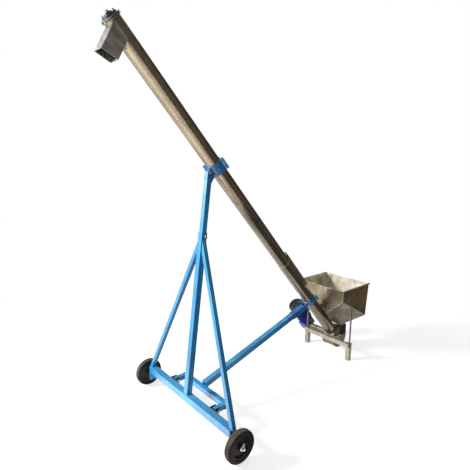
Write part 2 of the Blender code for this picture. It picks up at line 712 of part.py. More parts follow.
# ---- discharge end ---------------------------------------------------------------------------------
def bolt_circle(count, radius, start=0.0):
    turns = [start + step * 2 * pi / count for step in range(count)]
    return [Vector((radius * cos(turn), radius * sin(turn), 0.0)) for turn in turns]


BEARING_BOLTS = bolt_circle(4, BEARING_BOLT_CIRCLE, pi / 4)


def drill(target, spots, radius, low, high):
    cut(target, merged([rod(radius, low, high, "Z", spot, 12) for spot in spots]))


def make_flange():
    flange = on_tube(turned_ring("end_flange", FLANGE_BORE, FLANGE_RADIUS, FLANGE_Z,
                                 FLANGE_Z + FLANGE_THICKNESS, STAINLESS))
    gasket = on_tube(turned_ring("flange_gasket", FLANGE_BORE, FLANGE_RADIUS - 0.006, GASKET_Z,
                                 GASKET_Z + GASKET_THICKNESS, SEAL_RUBBER))
    plate = on_tube(turned_ring("bearing_plate", SHAFT_RADIUS + 0.002, FLANGE_RADIUS, PLATE_Z,
                                PLATE_Z + BEARING_PLATE_THICKNESS, STAINLESS))
    for part in (flange, gasket):
        drill(part, BEARING_BOLTS, BEARING_BOLT_RADIUS + BOLT_PLAY, FLANGE_Z - 0.05, BEARING_Z + 0.05)
    head = BEARING_BOLT_RADIUS * 1.6
    tip = BEARING_Z + BEARING_BASE + 0.014
    bolts = [hex_bolt(BEARING_BOLT_RADIUS, AUGER_LENGTH - 0.007, tip, head, AUGER_LENGTH,
                      BEARING_Z + BEARING_BASE + GAP, "Z", spot) for spot in BEARING_BOLTS]
    fuse(plate, merged(bolts))


def make_bearing():
    half = BEARING_SIZE / 2
    body = block((-half, -half, BEARING_Z), (half, half, BEARING_Z + BEARING_BASE))
    sides = [edge for edge in body.edges if abs(edge.verts[0].co.z - edge.verts[1].co.z) > BEARING_BASE / 2]
    bmesh.ops.bevel(body, geom=sides, offset=0.014, segments=3, affect="EDGES", profile=0.5)
    bearing = on_tube(piece("flange_bearing", body, CAST_TEAL))
    fuse(bearing, rod(BEARING_BOSS_RADIUS, BEARING_Z + BEARING_BASE / 2, BEARING_Z + BEARING_HEIGHT - 0.004,
                      sides=24))
    fuse(bearing, rod(BEARING_BOSS_RADIUS * 0.66, BEARING_Z + BEARING_BASE, BEARING_Z + BEARING_HEIGHT,
                      sides=24))
    cut(bearing, rod(bore(SHAFT_RADIUS + SHAFT_RUN), BEARING_Z - 0.05, BEARING_Z + 0.1, sides=SMALL))
    drill(bearing, BEARING_BOLTS, BEARING_BOLT_RADIUS + BOLT_PLAY, BEARING_Z - 0.05, BEARING_Z + 0.1)


# ---- channel cover --------------------------------------------------------------------------------
def make_channel():
    centre = (CHANNEL_LIFT, CHANNEL_SIDE, 0.0)
    inner = CHANNEL_RADIUS - CHANNEL_WALL
    channel = on_tube(piece("back_channel", rod(CHANNEL_RADIUS, CHANNEL_START, CHANNEL_END, "Z", centre, 24),
                            STAINLESS, smooth=True))
    cut(channel, rod(inner, CHANNEL_START + CHANNEL_WALL, CHANNEL_END - CHANNEL_WALL, "Z", centre, 24))
    over_sleeve = TUBE_RADIUS + SLEEVE_WALL + 2 * GAP
    cut(channel, rod(over_sleeve, CHANNEL_START - 0.1, SLEEVE_END + GAP, sides=ROUND))
    cut(channel, rod(TUBE_RADIUS + GAP, SLEEVE_END - 0.01, CHANNEL_END + 0.1, sides=ROUND))


# ---- clamps ------------------------------------------------------------------------------------------
def turned_about_tube(mesh):
    bmesh.ops.rotate(mesh, matrix=Matrix.Rotation(CLAMP_TURN, 3, "Z"), verts=mesh.verts)
    return mesh


def clamp_bolt_spots(place, width):
    y = TUBE_RADIUS + GAP + CLAMP_THICKNESS + CLAMP_EAR / 2
    step = width / 4
    return [Vector((0.0, hand * y, place + offset)) for hand in (1, -1) for offset in (-step, step)]


def clamp_half(name, place, width, back):
    """Half of a tube clamp; back is +1 for the half on the tube's back, -1 for the one under it."""
    outer = TUBE_RADIUS + GAP + CLAMP_THICKNESS
    reach = outer + CLAMP_EAR
    low, high = place - width / 2, place + width / 2
    thick = CLAMP_SPLIT + CLAMP_THICKNESS + 0.002
    made = on_tube(piece(name, rod(outer, low, high, sides=FINE), CLAMP_BLUE))
    fuse(made, turned_about_tube(block((-thick, -reach, low), (thick, reach, high))))
    cut(made, rod(TUBE_RADIUS + GAP, low - 0.1, high + 0.1, sides=ROUND))
    away = -back * 0.2
    edge = back * CLAMP_SPLIT
    other = block((min(away, edge), -0.2, low - 0.1), (max(away, edge), 0.2, high + 0.1))
    cut(made, turned_about_tube(other))
    return made


def make_clamp(label, place, width, pivot, hole):
    grip = CLAMP_SPLIT + CLAMP_THICKNESS + 0.002 + GAP
    spots = clamp_bolt_spots(place, width)
    over = clamp_half(label + "_clamp_over", place, width, 1)
    holes = merged([rod(CLAMP_BOLT_RADIUS + BOLT_PLAY, -0.05, 0.05, "X", spot, 12) for spot in spots])
    cut(over, turned_about_tube(holes))
    under = clamp_half(label + "_clamp_under", place, width, -1)
    half = LUG_THICKNESS / 2
    eye = max(EYE_RADIUS, hole + 0.006)
    root = TUBE_RADIUS + GAP + CLAMP_THICKNESS / 2
    fuse(under, block((-PIVOT_DROP, -half, pivot - eye), (-root, half, pivot + eye)))
    fuse(under, rod(eye, -half, half, "Y", (-PIVOT_DROP, 0, pivot), 24))
    cut(under, rod(TUBE_RADIUS + GAP, place - width, place + width, sides=ROUND))
    cut(under, rod(hole, -0.05, 0.05, "Y", (-PIVOT_DROP, 0, pivot), 24))
    studs = [hex_bolt(CLAMP_BOLT_RADIUS, -grip - 0.0055, grip + 0.014, CLAMP_BOLT_RADIUS * 1.75,
                      -grip + 2 * GAP, grip, "X", spot) for spot in spots]
    fuse(under, turned_about_tube(merged(studs)))


# ---- boot drum and drive --------------------------------------------------------------------------
def along_y(made, body="auger"):
    """Place a piece whose mesh runs along Y through the drum's axis."""
    return put(made, body, BOOT)


def make_drum():
    half = DRUM_WIDTH / 2
    drum = turned_ring("boot_drum", DRUM_RADIUS - DRUM_WALL, DRUM_RADIUS, -half, half, STAINLESS, FINE)
    put(drum, "auger", BOOT, (-pi / 2, 0.0, 0.0))
    entry = rod(TUBE_RADIUS + GAP, 0.02, 0.3, sides=ROUND)
    bmesh.ops.rotate(entry, matrix=Matrix.Rotation(TUBE_TILT, 3, "Y"), verts=entry.verts)
    inlet = block((OUTLET_FRONT_X - BOOT_X + 0.006, -half + 0.008, 0.0),
                  (OUTLET_BACK_X - BOOT_X - 0.006, half - 0.008, 0.2))
    for tool in (entry, inlet):
        bmesh.ops.rotate(tool, matrix=Matrix.Rotation(pi / 2, 3, "X"), verts=tool.verts)
        cut(drum, tool)


def make_drum_covers():
    rim = DRUM_RADIUS + COVER_LIP
    inner, outer = COVER_FACE_Y, COVER_OUTER_Y
    tip = BRACKET_Y + BRACKET_THICKNESS + 0.006
    right = along_y(piece("drum_cover_right", rod(rim, -outer, -inner, "Y", sides=FINE), STAINLESS))
    fuse(right, rod(TRUNNION_RADIUS, -tip, -inner - COVER_THICKNESS / 2, "Y", sides=24))
    left = along_y(piece("drum_cover_left", rod(rim, inner, outer, "Y", sides=FINE), STAINLESS))
    cut(left, rod(bore(DRIVE_PIPE_RADIUS + GAP, 24), 0.0, 0.2, "Y", sides=24))


def make_drive_pipe():
    start = GEAR_CASE_HALF + GAP
    end = GEARBOX_FACE_Y - GAP
    pipe = turned_ring("drive_housing", DRIVE_PIPE_RADIUS - DRIVE_PIPE_WALL, DRIVE_PIPE_RADIUS, start, end,
                       STAINLESS, 24)
    put(pipe, "auger", BOOT, (-pi / 2, 0.0, 0.0))


def make_gear_case():
    half = GEAR_CASE_HALF
    cavity = half - GEAR_CASE_WALL
    case = on_tube(piece("gear_case", block((-half, -half, -half), (half, half, half)), CAST_TEAL))
    cut(case, block((-cavity, -cavity, -cavity), (cavity, cavity, cavity)))
    cut(case, rod(bore(SHAFT_RADIUS + SHAFT_RUN), 0.0, 0.1, sides=SMALL))
    cut(case, rod(bore(CROSS_SHAFT_RADIUS + SHAFT_RUN), 0.0, 0.1, "Y", sides=SMALL))


def mitre_gear():
    """Toothed 45 degree cone along Z, wide end up, its crests just under the pitch cone."""
    mesh = bmesh.new()
    rings = []
    for height in (GEAR_RADIUS, GEAR_RADIUS - GEAR_WIDTH + 0.0005):
        ring = []
        for step in range(4 * GEAR_TEETH):
            radius = height - GAP if step % 4 < 2 else 0.88 * height
            angle = (step + 0.5) * 2 * pi / (4 * GEAR_TEETH)
            ring.append(mesh.verts.new((radius * cos(angle), radius * sin(angle), height)))
        rings.append(ring)
    count = len(rings[0])
    for step in range(count):
        after = (step + 1) % count
        mesh.faces.new((rings[0][step], rings[1][step], rings[1][after], rings[0][after]))
    mesh.faces.new(rings[0])
    mesh.faces.new(reversed(rings[1]))
    return mesh


def make_cross_shaft():
    shaft = rod(CROSS_SHAFT_RADIUS, GEAR_RADIUS - GEAR_WIDTH, GEARBOX_Y, "Y", sides=SMALL)
    made = on_tube(piece("cross_shaft", shaft, BARE_STEEL, smooth=True), "cross_drive")
    gear = mitre_gear()
    bmesh.ops.rotate(gear, matrix=AXES["Y"].to_3x3(), verts=gear.verts)
    fuse(made, gear)


def make_gearbox():
    half = GEARBOX_HALF
    body = block((-half, -half, -half), (half + MOTOR_LIFT, half, GEARBOX_TOP))
    bmesh.ops.bevel(body, geom=list(body.edges), offset=0.009, segments=2, affect="EDGES", profile=0.5)
    gearbox = on_tube(piece("gearbox", body, MOTOR_BLUE), y=GEARBOX_Y)
    chamber = half * 0.55
    cut(gearbox, block((-chamber, -chamber, -chamber), (chamber + MOTOR_LIFT, chamber, chamber)))
    cut(gearbox, rod(bore(CROSS_SHAFT_RADIUS + SHAFT_RUN), -0.2, 0.0, "Y", sides=SMALL))
    cut(gearbox, rod(bore(MOTOR_SHAFT_RADIUS + SHAFT_RUN), 0.0, 0.2, "Z", (MOTOR_LIFT, 0, 0), SMALL))


def finned_outline(low, high):
    """Motor frame: round body with straight cooling fins, extruded along Z."""
    mesh = bmesh.new()
    ring = []
    for step in range(4 * MOTOR_FINS):
        radius = MOTOR_RADIUS + MOTOR_FIN if step % 4 < 2 else MOTOR_RADIUS
        angle = (step + 0.5) * 2 * pi / (4 * MOTOR_FINS)
        ring.append(mesh.verts.new((radius * cos(angle), radius * sin(angle), low)))
    face = mesh.faces.new(ring)
    grown = bmesh.ops.extrude_face_region(mesh, geom=[face])
    lifted = [item for item in grown["geom"] if isinstance(item, bmesh.types.BMVert)]
    bmesh.ops.translate(mesh, vec=(0, 0, high - low), verts=lifted)
    bmesh.ops.recalc_face_normals(mesh, faces=mesh.faces)
    return mesh


def make_motor():
    low = GEARBOX_TOP + GAP
    high = low + MOTOR_LENGTH
    body = on_motor(piece("motor_body", finned_outline(low + 0.012, high), MOTOR_BLUE))
    fuse(body, rod(MOTOR_RADIUS - 0.004, low, low + 0.02, sides=ROUND))
    cut(body, rod(bore(MOTOR_SHAFT_RADIUS + SHAFT_RUN), low - 0.1, high + 0.1, sides=SMALL))
    foot = -GEARBOX_HALF * 0.4
    shaft = rod(MOTOR_SHAFT_RADIUS, foot, high + 0.050, sides=SMALL)
    on_motor(piece("motor_shaft", shaft, BARE_STEEL, smooth=True), "rotor")
    make_fan(high)
    make_fan_cover(high + GAP)
    make_terminal_box((low + high) / 2)


def make_fan(base):
    low = base + 0.012
    fan = on_motor(piece("cooling_fan", rod(FAN_RADIUS, low, low + 0.004, sides=24), BLACK_PLASTIC), "rotor")
    fuse(fan, rod(MOTOR_SHAFT_RADIUS + 0.008, low + 0.002, low + 0.026, sides=24))
    for step in range(FAN_BLADES):
        near, far = MOTOR_SHAFT_RADIUS + 0.004, FAN_RADIUS - 0.004
        blade = block((near, -0.0015, low + 0.002), (far, 0.0015, low + 0.024))
        turn = Matrix.Rotation(step * 2 * pi / FAN_BLADES + 0.05, 3, "Z")
        bmesh.ops.rotate(blade, matrix=turn, verts=blade.verts)
        fuse(fan, blade)
    cut(fan, rod(bore(MOTOR_SHAFT_RADIUS + GAP), low - 0.1, low + 0.1, sides=SMALL))


def make_fan_cover(base):
    outer = MOTOR_RADIUS + MOTOR_FIN + 0.001
    inner = outer - FAN_COVER_WALL
    top = base + FAN_COVER_LENGTH
    section = [(0.0, top), (outer - 0.012, top), (outer, top - 0.012), (outer, base), (inner, base),
               (inner, top - 0.013), (outer - 0.013, top - FAN_COVER_WALL), (0.0, top - FAN_COVER_WALL)]
    cover = on_motor(piece("fan_cover", turned(section, ROUND), BLACK_PLASTIC, smooth=True))
    vents = bolt_circle(10, outer * 0.60) + bolt_circle(5, outer * 0.28)
    cut(cover, merged([rod(0.0085, top - 0.02, top + 0.02, "Z", spot, 12) for spot in vents]))


def make_terminal_box(middle):
    size = TERMINAL_BOX
    seat = MOTOR_RADIUS + MOTOR_FIN + GAP
    body = block((seat, -size.y / 2, middle - size.z / 2), (seat + size.x, size.y / 2, middle + size.z / 2))
    bmesh.ops.bevel(body, geom=list(body.edges), offset=0.006, segments=2, affect="EDGES", profile=0.5)
    box = on_motor(piece("terminal_box", body, BLACK_PLASTIC))
    fuse(box, rod(GLAND_RADIUS, size.y / 2 - 0.004, size.y / 2 + 0.016, "Y",
                  (seat + size.x / 2, 0, middle), 12))


# ---- drawbar ---------------------------------------------------------------------------------------
def drawbar_line():
    """Start of the drawbar's axis, on top of the crossbar, and its slope up to the lower pin."""
    top = BEAM_Z + CROSSBAR_SIZE / 2 + GAP
    slope = 0.0
    for _ in range(6):
        start = Vector((CROSSBAR_X, 0.0, top + DRAWBAR_SIZE / 2 * cos(slope)))
        run = LOWER_PIN - start
        slope = atan2(run.z, run.x)
    return start, slope


def make_yoke():
    yoke = square_tube("drawbar_yoke", "drawbar", (CROSSBAR_X, -CROSSBAR_HALF, BEAM_Z),
                       (CROSSBAR_X, CROSSBAR_HALF, BEAM_Z), CROSSBAR_SIZE, Vector((1, 0, 0)), FRAME_BLUE)
    half = ARM_SIZE / 2
    nose = HINGE_X - ARM_NOSE - CROSSBAR_X
    wall = -CROSSBAR_SIZE / 2 + TUBE_STOCK_WALL / 2
    arms = []
    holes = []
    for hand in (1, -1):
        middle = CROSSBAR_HALF + hand * ARM_Y
        arms.append(block((nose, -half, middle - half), (wall, half, middle + half)))
        eye = (HINGE_X - CROSSBAR_X, 0, 0)
        holes.append(rod(PIN_RADIUS + BOLT_PLAY, middle - 0.1, middle + 0.1, "Z", eye))
    fuse(yoke, merged(arms))
    cut(yoke, merged(holes))


def make_drawbar():
    start, slope = drawbar_line()
    axis = Vector((cos(slope), 0.0, sin(slope)))
    reach = (LOWER_PIN - start).length
    bar = square_tube("drawbar", "drawbar", start, start + axis * (reach - FORK_LENGTH - 0.010),
                      DRAWBAR_SIZE, Y_AXIS, FRAME_BLUE)
    inner = DRAWBAR_SIZE / 2 + GAP
    outer = inner + SLEEVE_TUBE_WALL
    tilt = (0.0, pi / 2 - slope, 0.0)
    low = -FORK_LENGTH - SLEEVE_TUBE_LENGTH
    side = outer - GAP
    foot = -FORK_LENGTH + CHEEK_THICKNESS / 3
    outline = [(-side, foot), (-side, -0.006), (-EYE_RADIUS, 0.004), (EYE_RADIUS, 0.0), (side, -0.006),
               (side, foot)]
    sleeve = fork("drawbar_sleeve", "drawbar", LOWER_PIN, tilt, outer + 0.001, outline, 0.0)
    fuse(sleeve, block((-outer, -outer, low), (outer, outer, -FORK_LENGTH + CHEEK_THICKNESS / 2)))
    cut(sleeve, block((-inner, -inner, low - 0.1), (inner, inner, -FORK_LENGTH)))
    bolt_at = low + SLEEVE_TUBE_LENGTH * 0.4
    hole = SLEEVE_BOLT_RADIUS + BOLT_PLAY
    cut(bar, rod(hole, -0.1, 0.1, "X", (0, 0, reach + bolt_at), 12))
    grip = outer - GAP
    fuse(sleeve, hex_bolt(SLEEVE_BOLT_RADIUS, -grip - 0.006, grip + 0.012, SLEEVE_BOLT_RADIUS * 1.6, -grip,
                          grip, "Y", (0, 0, bolt_at)))
    put(piece("drawbar_pin", pivot_bolt(), ZINC), "drawbar", LOWER_PIN, tilt)


# ---- wheels ------------------------------------------------------------------------------------------
def make_wheel(side, hand):
    body = "wheel_" + side
    centre = (0.0, hand * WHEEL_Y, WHEEL_RADIUS)
    half = TYRE_WIDTH / 2
    inner = WHEEL_RADIUS - TYRE_DEPTH
    shoulder = 0.008
    tread = [(inner, half - 0.004), (WHEEL_RADIUS - shoulder, half)]
    tread += [(WHEEL_RADIUS - 0.002, half - shoulder / 2), (WHEEL_RADIUS, half - shoulder)]
    tyre = ring_piece("tyre_" + side, tread + [(r, -h) for r, h in reversed(tread)], TYRE_RUBBER, FINE)
    put(tyre, body, centre, (-pi / 2, 0.0, 0.0))
    rim = inner - GAP
    hole = bore(AXLE_RADIUS + SHAFT_RUN, FINE)
    hub = [(hole, HUB_WIDTH / 2), (HUB_RADIUS, HUB_WIDTH / 2), (HUB_RADIUS, 0.008), (rim - 0.012, 0.006),
           (rim - 0.010, half - 0.005), (rim, half - 0.005)]
    disc = ring_piece("rim_" + side, hub + [(r, -h) for r, h in reversed(hub)], BLACK_PLASTIC, FINE)
    put(disc, body, centre, (-pi / 2, 0.0, 0.0))


def ring_piece(name, corners, finish, sides):
    """Turned ring from a closed (radius, height) section that runs down its outer side."""
    section = bmesh.new()
    points = [section.verts.new((radius, 0.0, height)) for radius, height in corners]
    for first, second in zip(points, points[1:] + points[:1]):
        section.edges.new((first, second))
    made = piece(name, section, finish)
    add_screw(made, sides)
    return made


# ---- hopper ---------------------------------------------------------------------------------------------
def hopper_corners():
    """Corner points on the hopper's left half, in machine axes."""
    tunnel = TUBE_RADIUS + TUNNEL_CLEAR
    top, front = HOPPER_TOP, HOPPER_FRONT_X
    side_low = top - HOPPER_FRONT_DROP
    notch = side_low - (HOPPER_HALF - tunnel) * HOPPER_V_SLOPE
    tube_top = BOOT_Z + (BOOT_X - front) * tan(AUGER_ANGLE) + (TUBE_RADIUS + TUNNEL_CLEAR) / cos(AUGER_ANGLE)
    return {
        "rim_front": Vector((front, HOPPER_HALF, top)),
        "rim_back": Vector((HOPPER_BACK_X, HOPPER_HALF, top)),
        "side_front": Vector((front, HOPPER_HALF, side_low)),
        "side_back": Vector((HOPPER_BACK_X - HOPPER_BACK_LEAN, HOPPER_HALF, top - HOPPER_BACK_DROP)),
        "notch_low": Vector((front, tunnel, notch)),
        "notch_top": Vector((front, tunnel, tube_top)),
        "throat_front": Vector((OUTLET_FRONT_X, tunnel, OUTLET_TOP)),
        "throat_back": Vector((OUTLET_BACK_X, tunnel, OUTLET_TOP)),
        "neck_front": Vector((OUTLET_FRONT_X, tunnel, OUTLET_BOTTOM)),
        "neck_back": Vector((OUTLET_BACK_X, tunnel, OUTLET_BOTTOM)),
        "lip_front": Vector((front, HOPPER_HALF + HOPPER_LIP, top)),
        "lip_back": Vector((HOPPER_BACK_X + HOPPER_LIP, HOPPER_HALF + HOPPER_LIP, top)),
    }


HOPPER_SIDE_FACES = (
    ("rim_front", "rim_back", "side_back", "side_front"),
    ("side_front", "notch_low", "throat_front"),
    ("side_front", "throat_front", "side_back"),
    ("throat_front", "throat_back", "side_back"),
    ("notch_low", "notch_top", "throat_front"),
    ("throat_front", "neck_front", "neck_back", "throat_back"),
    ("rim_front", "lip_front", "lip_back", "rim_back"),
)
HOPPER_CROSS_FACES = (
    ("rim_back", "side_back"),
    ("side_back", "throat_back"),
    ("throat_back", "neck_back"),
    ("notch_top", "throat_front"),
    ("throat_front", "neck_front"),
    ("rim_back", "lip_back"),
)


def make_hopper():
    corners = hopper_corners()
    mesh = bmesh.new()
    vertex = {}
    for hand in (1, -1):
        for name, point in corners.items():
            vertex[name, hand] = mesh.verts.new((point.x - BOOT_X, hand * point.y, point.z - BOOT_Z))
        for names in HOPPER_SIDE_FACES:
            mesh.faces.new([vertex[name, hand] for name in names])
    for first, second in HOPPER_CROSS_FACES:
        mesh.faces.new((vertex[first, 1], vertex[first, -1], vertex[second, -1], vertex[second, 1]))
    front = [(name, 1) for name in ("rim_front", "side_front", "notch_low", "notch_top")]
    front += [(name, -1) for name in ("notch_top", "notch_low", "side_front", "rim_front")]
    mesh.faces.new([vertex[key] for key in front])
    bmesh.ops.recalc_face_normals(mesh, faces=mesh.faces)
    hopper = piece("hopper_shell", mesh, STAINLESS)
    back = next(face for face in hopper.data.polygons if abs(face.center.y) < 1e-6 and
                abs(face.center.x - (HOPPER_BACK_X - HOPPER_BACK_LEAN / 2 - BOOT_X)) < 0.001)
    sheet = hopper.modifiers.new("sheet", "SOLIDIFY")
    sheet.thickness = HOPPER_SHEET
    sheet.offset = -1.0 if back.normal.x > 0 else 1.0
    sheet.use_even_offset = True
    put(hopper, "hopper", BOOT)


def make_seal():
    """Rubber collar under the hopper's neck that rubs on the drum as the tube tilts."""
    tunnel = TUBE_RADIUS + TUNNEL_CLEAR
    front, back = OUTLET_FRONT_X - BOOT_X, OUTLET_BACK_X - BOOT_X
    top = OUTLET_BOTTOM - GAP - BOOT_Z
    cheek = SEAL_CHEEK_Y + SEAL_WALL / 2
    seal = piece("boot_seal", block((front - SEAL_WALL / 2, -cheek, SEAL_BOTTOM - BOOT_Z),
                                    (back + SEAL_WALL, cheek, top)), SEAL_RUBBER)
    put(seal, "hopper", BOOT)
    mouth = tunnel - SEAL_WALL / 2 - 0.002
    cut(seal, block((front + 0.002, -mouth, -0.1), (back - 0.002, mouth, 0.3)))
    cut(seal, rod(DRUM_RADIUS + SEAL_PLAY, -DRUM_WIDTH / 2 - 0.002, DRUM_WIDTH / 2 + 0.002, "Y", sides=FINE))
    for hand in (1, -1):
        low, high = sorted((hand * (DRUM_WIDTH / 2 - 0.001), hand * SEAL_CHEEK_Y))
        cut(seal, rod(bore(DRUM_RADIUS + COVER_LIP + SEAL_PLAY, FINE), low, high, "Y", sides=FINE))
    cut(seal, rod(DRIVE_PIPE_RADIUS + 0.006, 0.0, 0.2, "Y", sides=24))
    passage = rod(TUBE_RADIUS + SEAL_TUBE_CLEAR, 0.0, 0.5, sides=ROUND)
    bmesh.ops.rotate(passage, matrix=Matrix.Rotation(TUBE_TILT, 3, "Y"), verts=passage.verts)
    cut(seal, passage)


def make_stand():
    half = STAND_SIZE / 2
    end = LEG_Y + half
    core = half - TUBE_STOCK_WALL
    low = STAND_TOP - STAND_SIZE
    front = STAND_BAR_X - STAND_BAR_DEPTH / 2 - STAND_X
    back = STAND_BAR_X + STAND_BAR_DEPTH / 2 - STAND_X
    stand = put(piece("hopper_stand", block((front, -end, low), (back, end, STAND_TOP)), STAINLESS),
                "hopper", (STAND_X, 0, 0))
    legs = []
    hollows = [block((front + TUBE_STOCK_WALL, -1.0, low + TUBE_STOCK_WALL),
                     (back - TUBE_STOCK_WALL, 1.0, STAND_TOP - TUBE_STOCK_WALL))]
    for hand in (1, -1):
        middle = hand * LEG_Y
        legs.append(block((-half, middle - half, 0.0), (half, middle + half, STAND_TOP)))
        hollows.append(block((-core, middle - core, -0.05), (core, middle + core, low - TUBE_STOCK_WALL)))
    fuse(stand, merged(legs))
    cut(stand, merged(hollows))
    add_bracket(stand, 1, DRIVE_PIPE_RADIUS)
    add_bracket(stand, -1, TRUNNION_RADIUS)


def make_stay(side, hand):
    inner = HOPPER_HALF + GAP
    low, high = sorted((hand * inner, hand * (inner + STAY_THICKNESS)))
    stay = block((-STAY_WIDTH / 2, low, STAND_TOP + GAP), (STAY_WIDTH / 2, high, STAY_TOP))
    put(piece("hopper_stay_" + side, stay, STAINLESS), "hopper", (STAY_X, 0, 0))


def add_bracket(stand, hand, shaft):
    """Plate welded to the stand's bar, with a bearing eye on the drum's axis."""
    low, high = sorted((hand * BRACKET_Y, hand * (BRACKET_Y + BRACKET_THICKNESS)))
    reach = BOOT_X - STAND_X
    base = BOOT_Z
    start = STAND_BAR_X + STAND_BAR_DEPTH / 2 - TUBE_STOCK_WALL / 2 - STAND_X
    fuse(stand, block((start, low, STAND_TOP - BRACKET_HEIGHT), (reach, high, STAND_TOP - 0.001)))
    fuse(stand, rod(shaft + 0.016, low, high, "Y", (reach, 0, base), 24))
    cut(stand, rod(bore(shaft + BOLT_PLAY, 24), low - 0.01, high + 0.01, "Y", (reach, 0, base), 24))


def make_all():
    make_bodies()
    make_axle_beam()
    make_mast_outer()
    for side, hand in (("left", 1), ("right", -1)):
        make_axle_end(side, hand)
        make_strut(side, hand)
        make_clip(side, hand)
        make_hinge_lug(side, hand)
        make_hinge_pin(side, hand)
        make_wheel(side, hand)
    make_mast_inner()
    make_mast_head()
    make_lock_screw()
    make_tubes()
    make_channel()
    make_spout()
    make_flange()
    make_bearing()
    make_clamp("upper", UPPER_CLAMP, UPPER_CLAMP_WIDTH, UPPER_PIVOT, PIN_RADIUS + BOLT_PLAY)
    make_clamp("lower", LOWER_CLAMP, LOWER_CLAMP_WIDTH, LOWER_PIVOT, PIN_RADIUS + LINK_PLAY)
    make_drum()
    make_drum_covers()
    make_drive_pipe()
    make_gear_case()
    make_cross_shaft()
    make_gearbox()
    make_motor()
    make_screw()
    make_yoke()
    make_drawbar()
    make_hopper()
    make_seal()
    make_stand()
    make_stay("left", 1)
    make_stay("right", -1)


make_all()
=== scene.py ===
"""Looks of the grain auger: finishes, fine detail pieces, floor, light and camera."""

import json
from math import asin, cos, pi, radians, sin, sqrt

import bmesh
import bpy
from mathutils import Matrix, Vector


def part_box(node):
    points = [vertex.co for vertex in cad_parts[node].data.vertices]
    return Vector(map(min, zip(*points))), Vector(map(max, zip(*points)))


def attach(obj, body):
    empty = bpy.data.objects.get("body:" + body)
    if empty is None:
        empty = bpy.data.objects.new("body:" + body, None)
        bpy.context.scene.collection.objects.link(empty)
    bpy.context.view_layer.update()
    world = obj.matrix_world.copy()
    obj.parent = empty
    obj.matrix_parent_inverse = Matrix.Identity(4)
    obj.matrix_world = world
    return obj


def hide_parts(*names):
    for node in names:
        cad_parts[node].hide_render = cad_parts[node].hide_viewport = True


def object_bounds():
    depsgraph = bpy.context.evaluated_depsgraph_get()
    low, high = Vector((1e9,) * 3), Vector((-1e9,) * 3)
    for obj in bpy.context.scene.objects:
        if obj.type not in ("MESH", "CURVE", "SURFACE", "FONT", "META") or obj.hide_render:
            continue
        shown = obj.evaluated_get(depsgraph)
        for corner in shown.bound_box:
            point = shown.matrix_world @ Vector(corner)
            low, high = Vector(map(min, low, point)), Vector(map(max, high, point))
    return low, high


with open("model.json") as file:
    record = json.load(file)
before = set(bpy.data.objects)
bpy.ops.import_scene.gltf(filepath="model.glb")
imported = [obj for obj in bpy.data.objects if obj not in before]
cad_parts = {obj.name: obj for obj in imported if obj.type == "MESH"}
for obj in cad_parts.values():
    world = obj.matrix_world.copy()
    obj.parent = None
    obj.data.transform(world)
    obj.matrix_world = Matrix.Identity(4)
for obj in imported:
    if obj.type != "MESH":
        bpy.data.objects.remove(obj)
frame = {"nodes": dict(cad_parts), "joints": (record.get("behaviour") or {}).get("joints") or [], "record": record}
cad_low, cad_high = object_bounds()
nodes = frame["nodes"]


# ---- places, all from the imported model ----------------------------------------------
def joint(name):
    return next(made for made in frame["joints"] if made["name"] == name)


def axes(origin, across, beside, along):
    return Matrix.Translation(origin) @ Matrix((across, beside, along)).transposed().to_4x4()


def reach(node, origin, direction):
    """Lowest and highest place of a CAD part along a direction."""
    spots = [(vertex.co - origin).dot(direction) for vertex in nodes[node].data.vertices]
    return min(spots), max(spots)


def widest(node, origin, direction):
    """Largest distance of a CAD part from an axis."""
    apart = [(vertex.co - origin) for vertex in nodes[node].data.vertices]
    return max((spot - spot.dot(direction) * direction).length for spot in apart)


FORWARD = Vector((1.0, 0.0, 0.0))
ASIDE = Vector((0.0, 1.0, 0.0))
UP = Vector((0.0, 0.0, 1.0))
ALONG = Vector(joint("screw_spin")["axis"]).normalized()
if ALONG.z < 0.0:
    ALONG = -ALONG                   # up the tube
LIFT = ASIDE.cross(ALONG)            # square to the tube, on its upper side
DRUM = Vector(joint("screw_spin")["pos_m"])
MOTOR = Vector(joint("rotor_spin")["pos_m"])
TUBE_AXES = axes(DRUM, LIFT, ASIDE, ALONG)
MOTOR_AXES = axes(MOTOR, LIFT, ASIDE, ALONG)
TUBE_SLOPE = asin(ALONG.z)           # of the screw tube above the ground
TUBE_RADIUS = widest("auger_tube_upper", DRUM, ALONG)
END_DEPTH = 0.0015                   # corners this near the end of a part lie on its end face


def off_tube(point):
    """How far a point is from the middle line of the tube."""
    away = point - DRUM
    return (away - away.dot(ALONG) * ALONG).length


def side_axes(origin):
    """Axes whose third one points to the left, along +Y."""
    return axes(origin, FORWARD, -UP, ASIDE)


def end_corners(node, axis, sign):
    """The four outer corners of a part's end face, the end farthest along sign * axis."""
    spots = [vertex.co.copy() for vertex in nodes[node].data.vertices]
    end = max(sign * spot[axis] for spot in spots)
    face = [spot for spot in spots if sign * spot[axis] > end - END_DEPTH]
    wide, tall = [k for k in range(3) if k != axis]
    quarters = ((1, 1), (-1, 1), (-1, -1), (1, -1))
    return [max(face, key=lambda spot: side * spot[wide] + rise * spot[tall]) for side, rise in quarters]


# ---- node graphs --------------------------------------------------------------------
WHITE = (1.0, 1.0, 1.0, 1.0)
BLACK = (0.0, 0.0, 0.0)
EDGE_ROUND = 0.0012                  # all stay under the sheets' 2 mm, past which edge masks turn noisy
SOFT_ROUND = 0.0015
FINE_ROUND = 0.0008


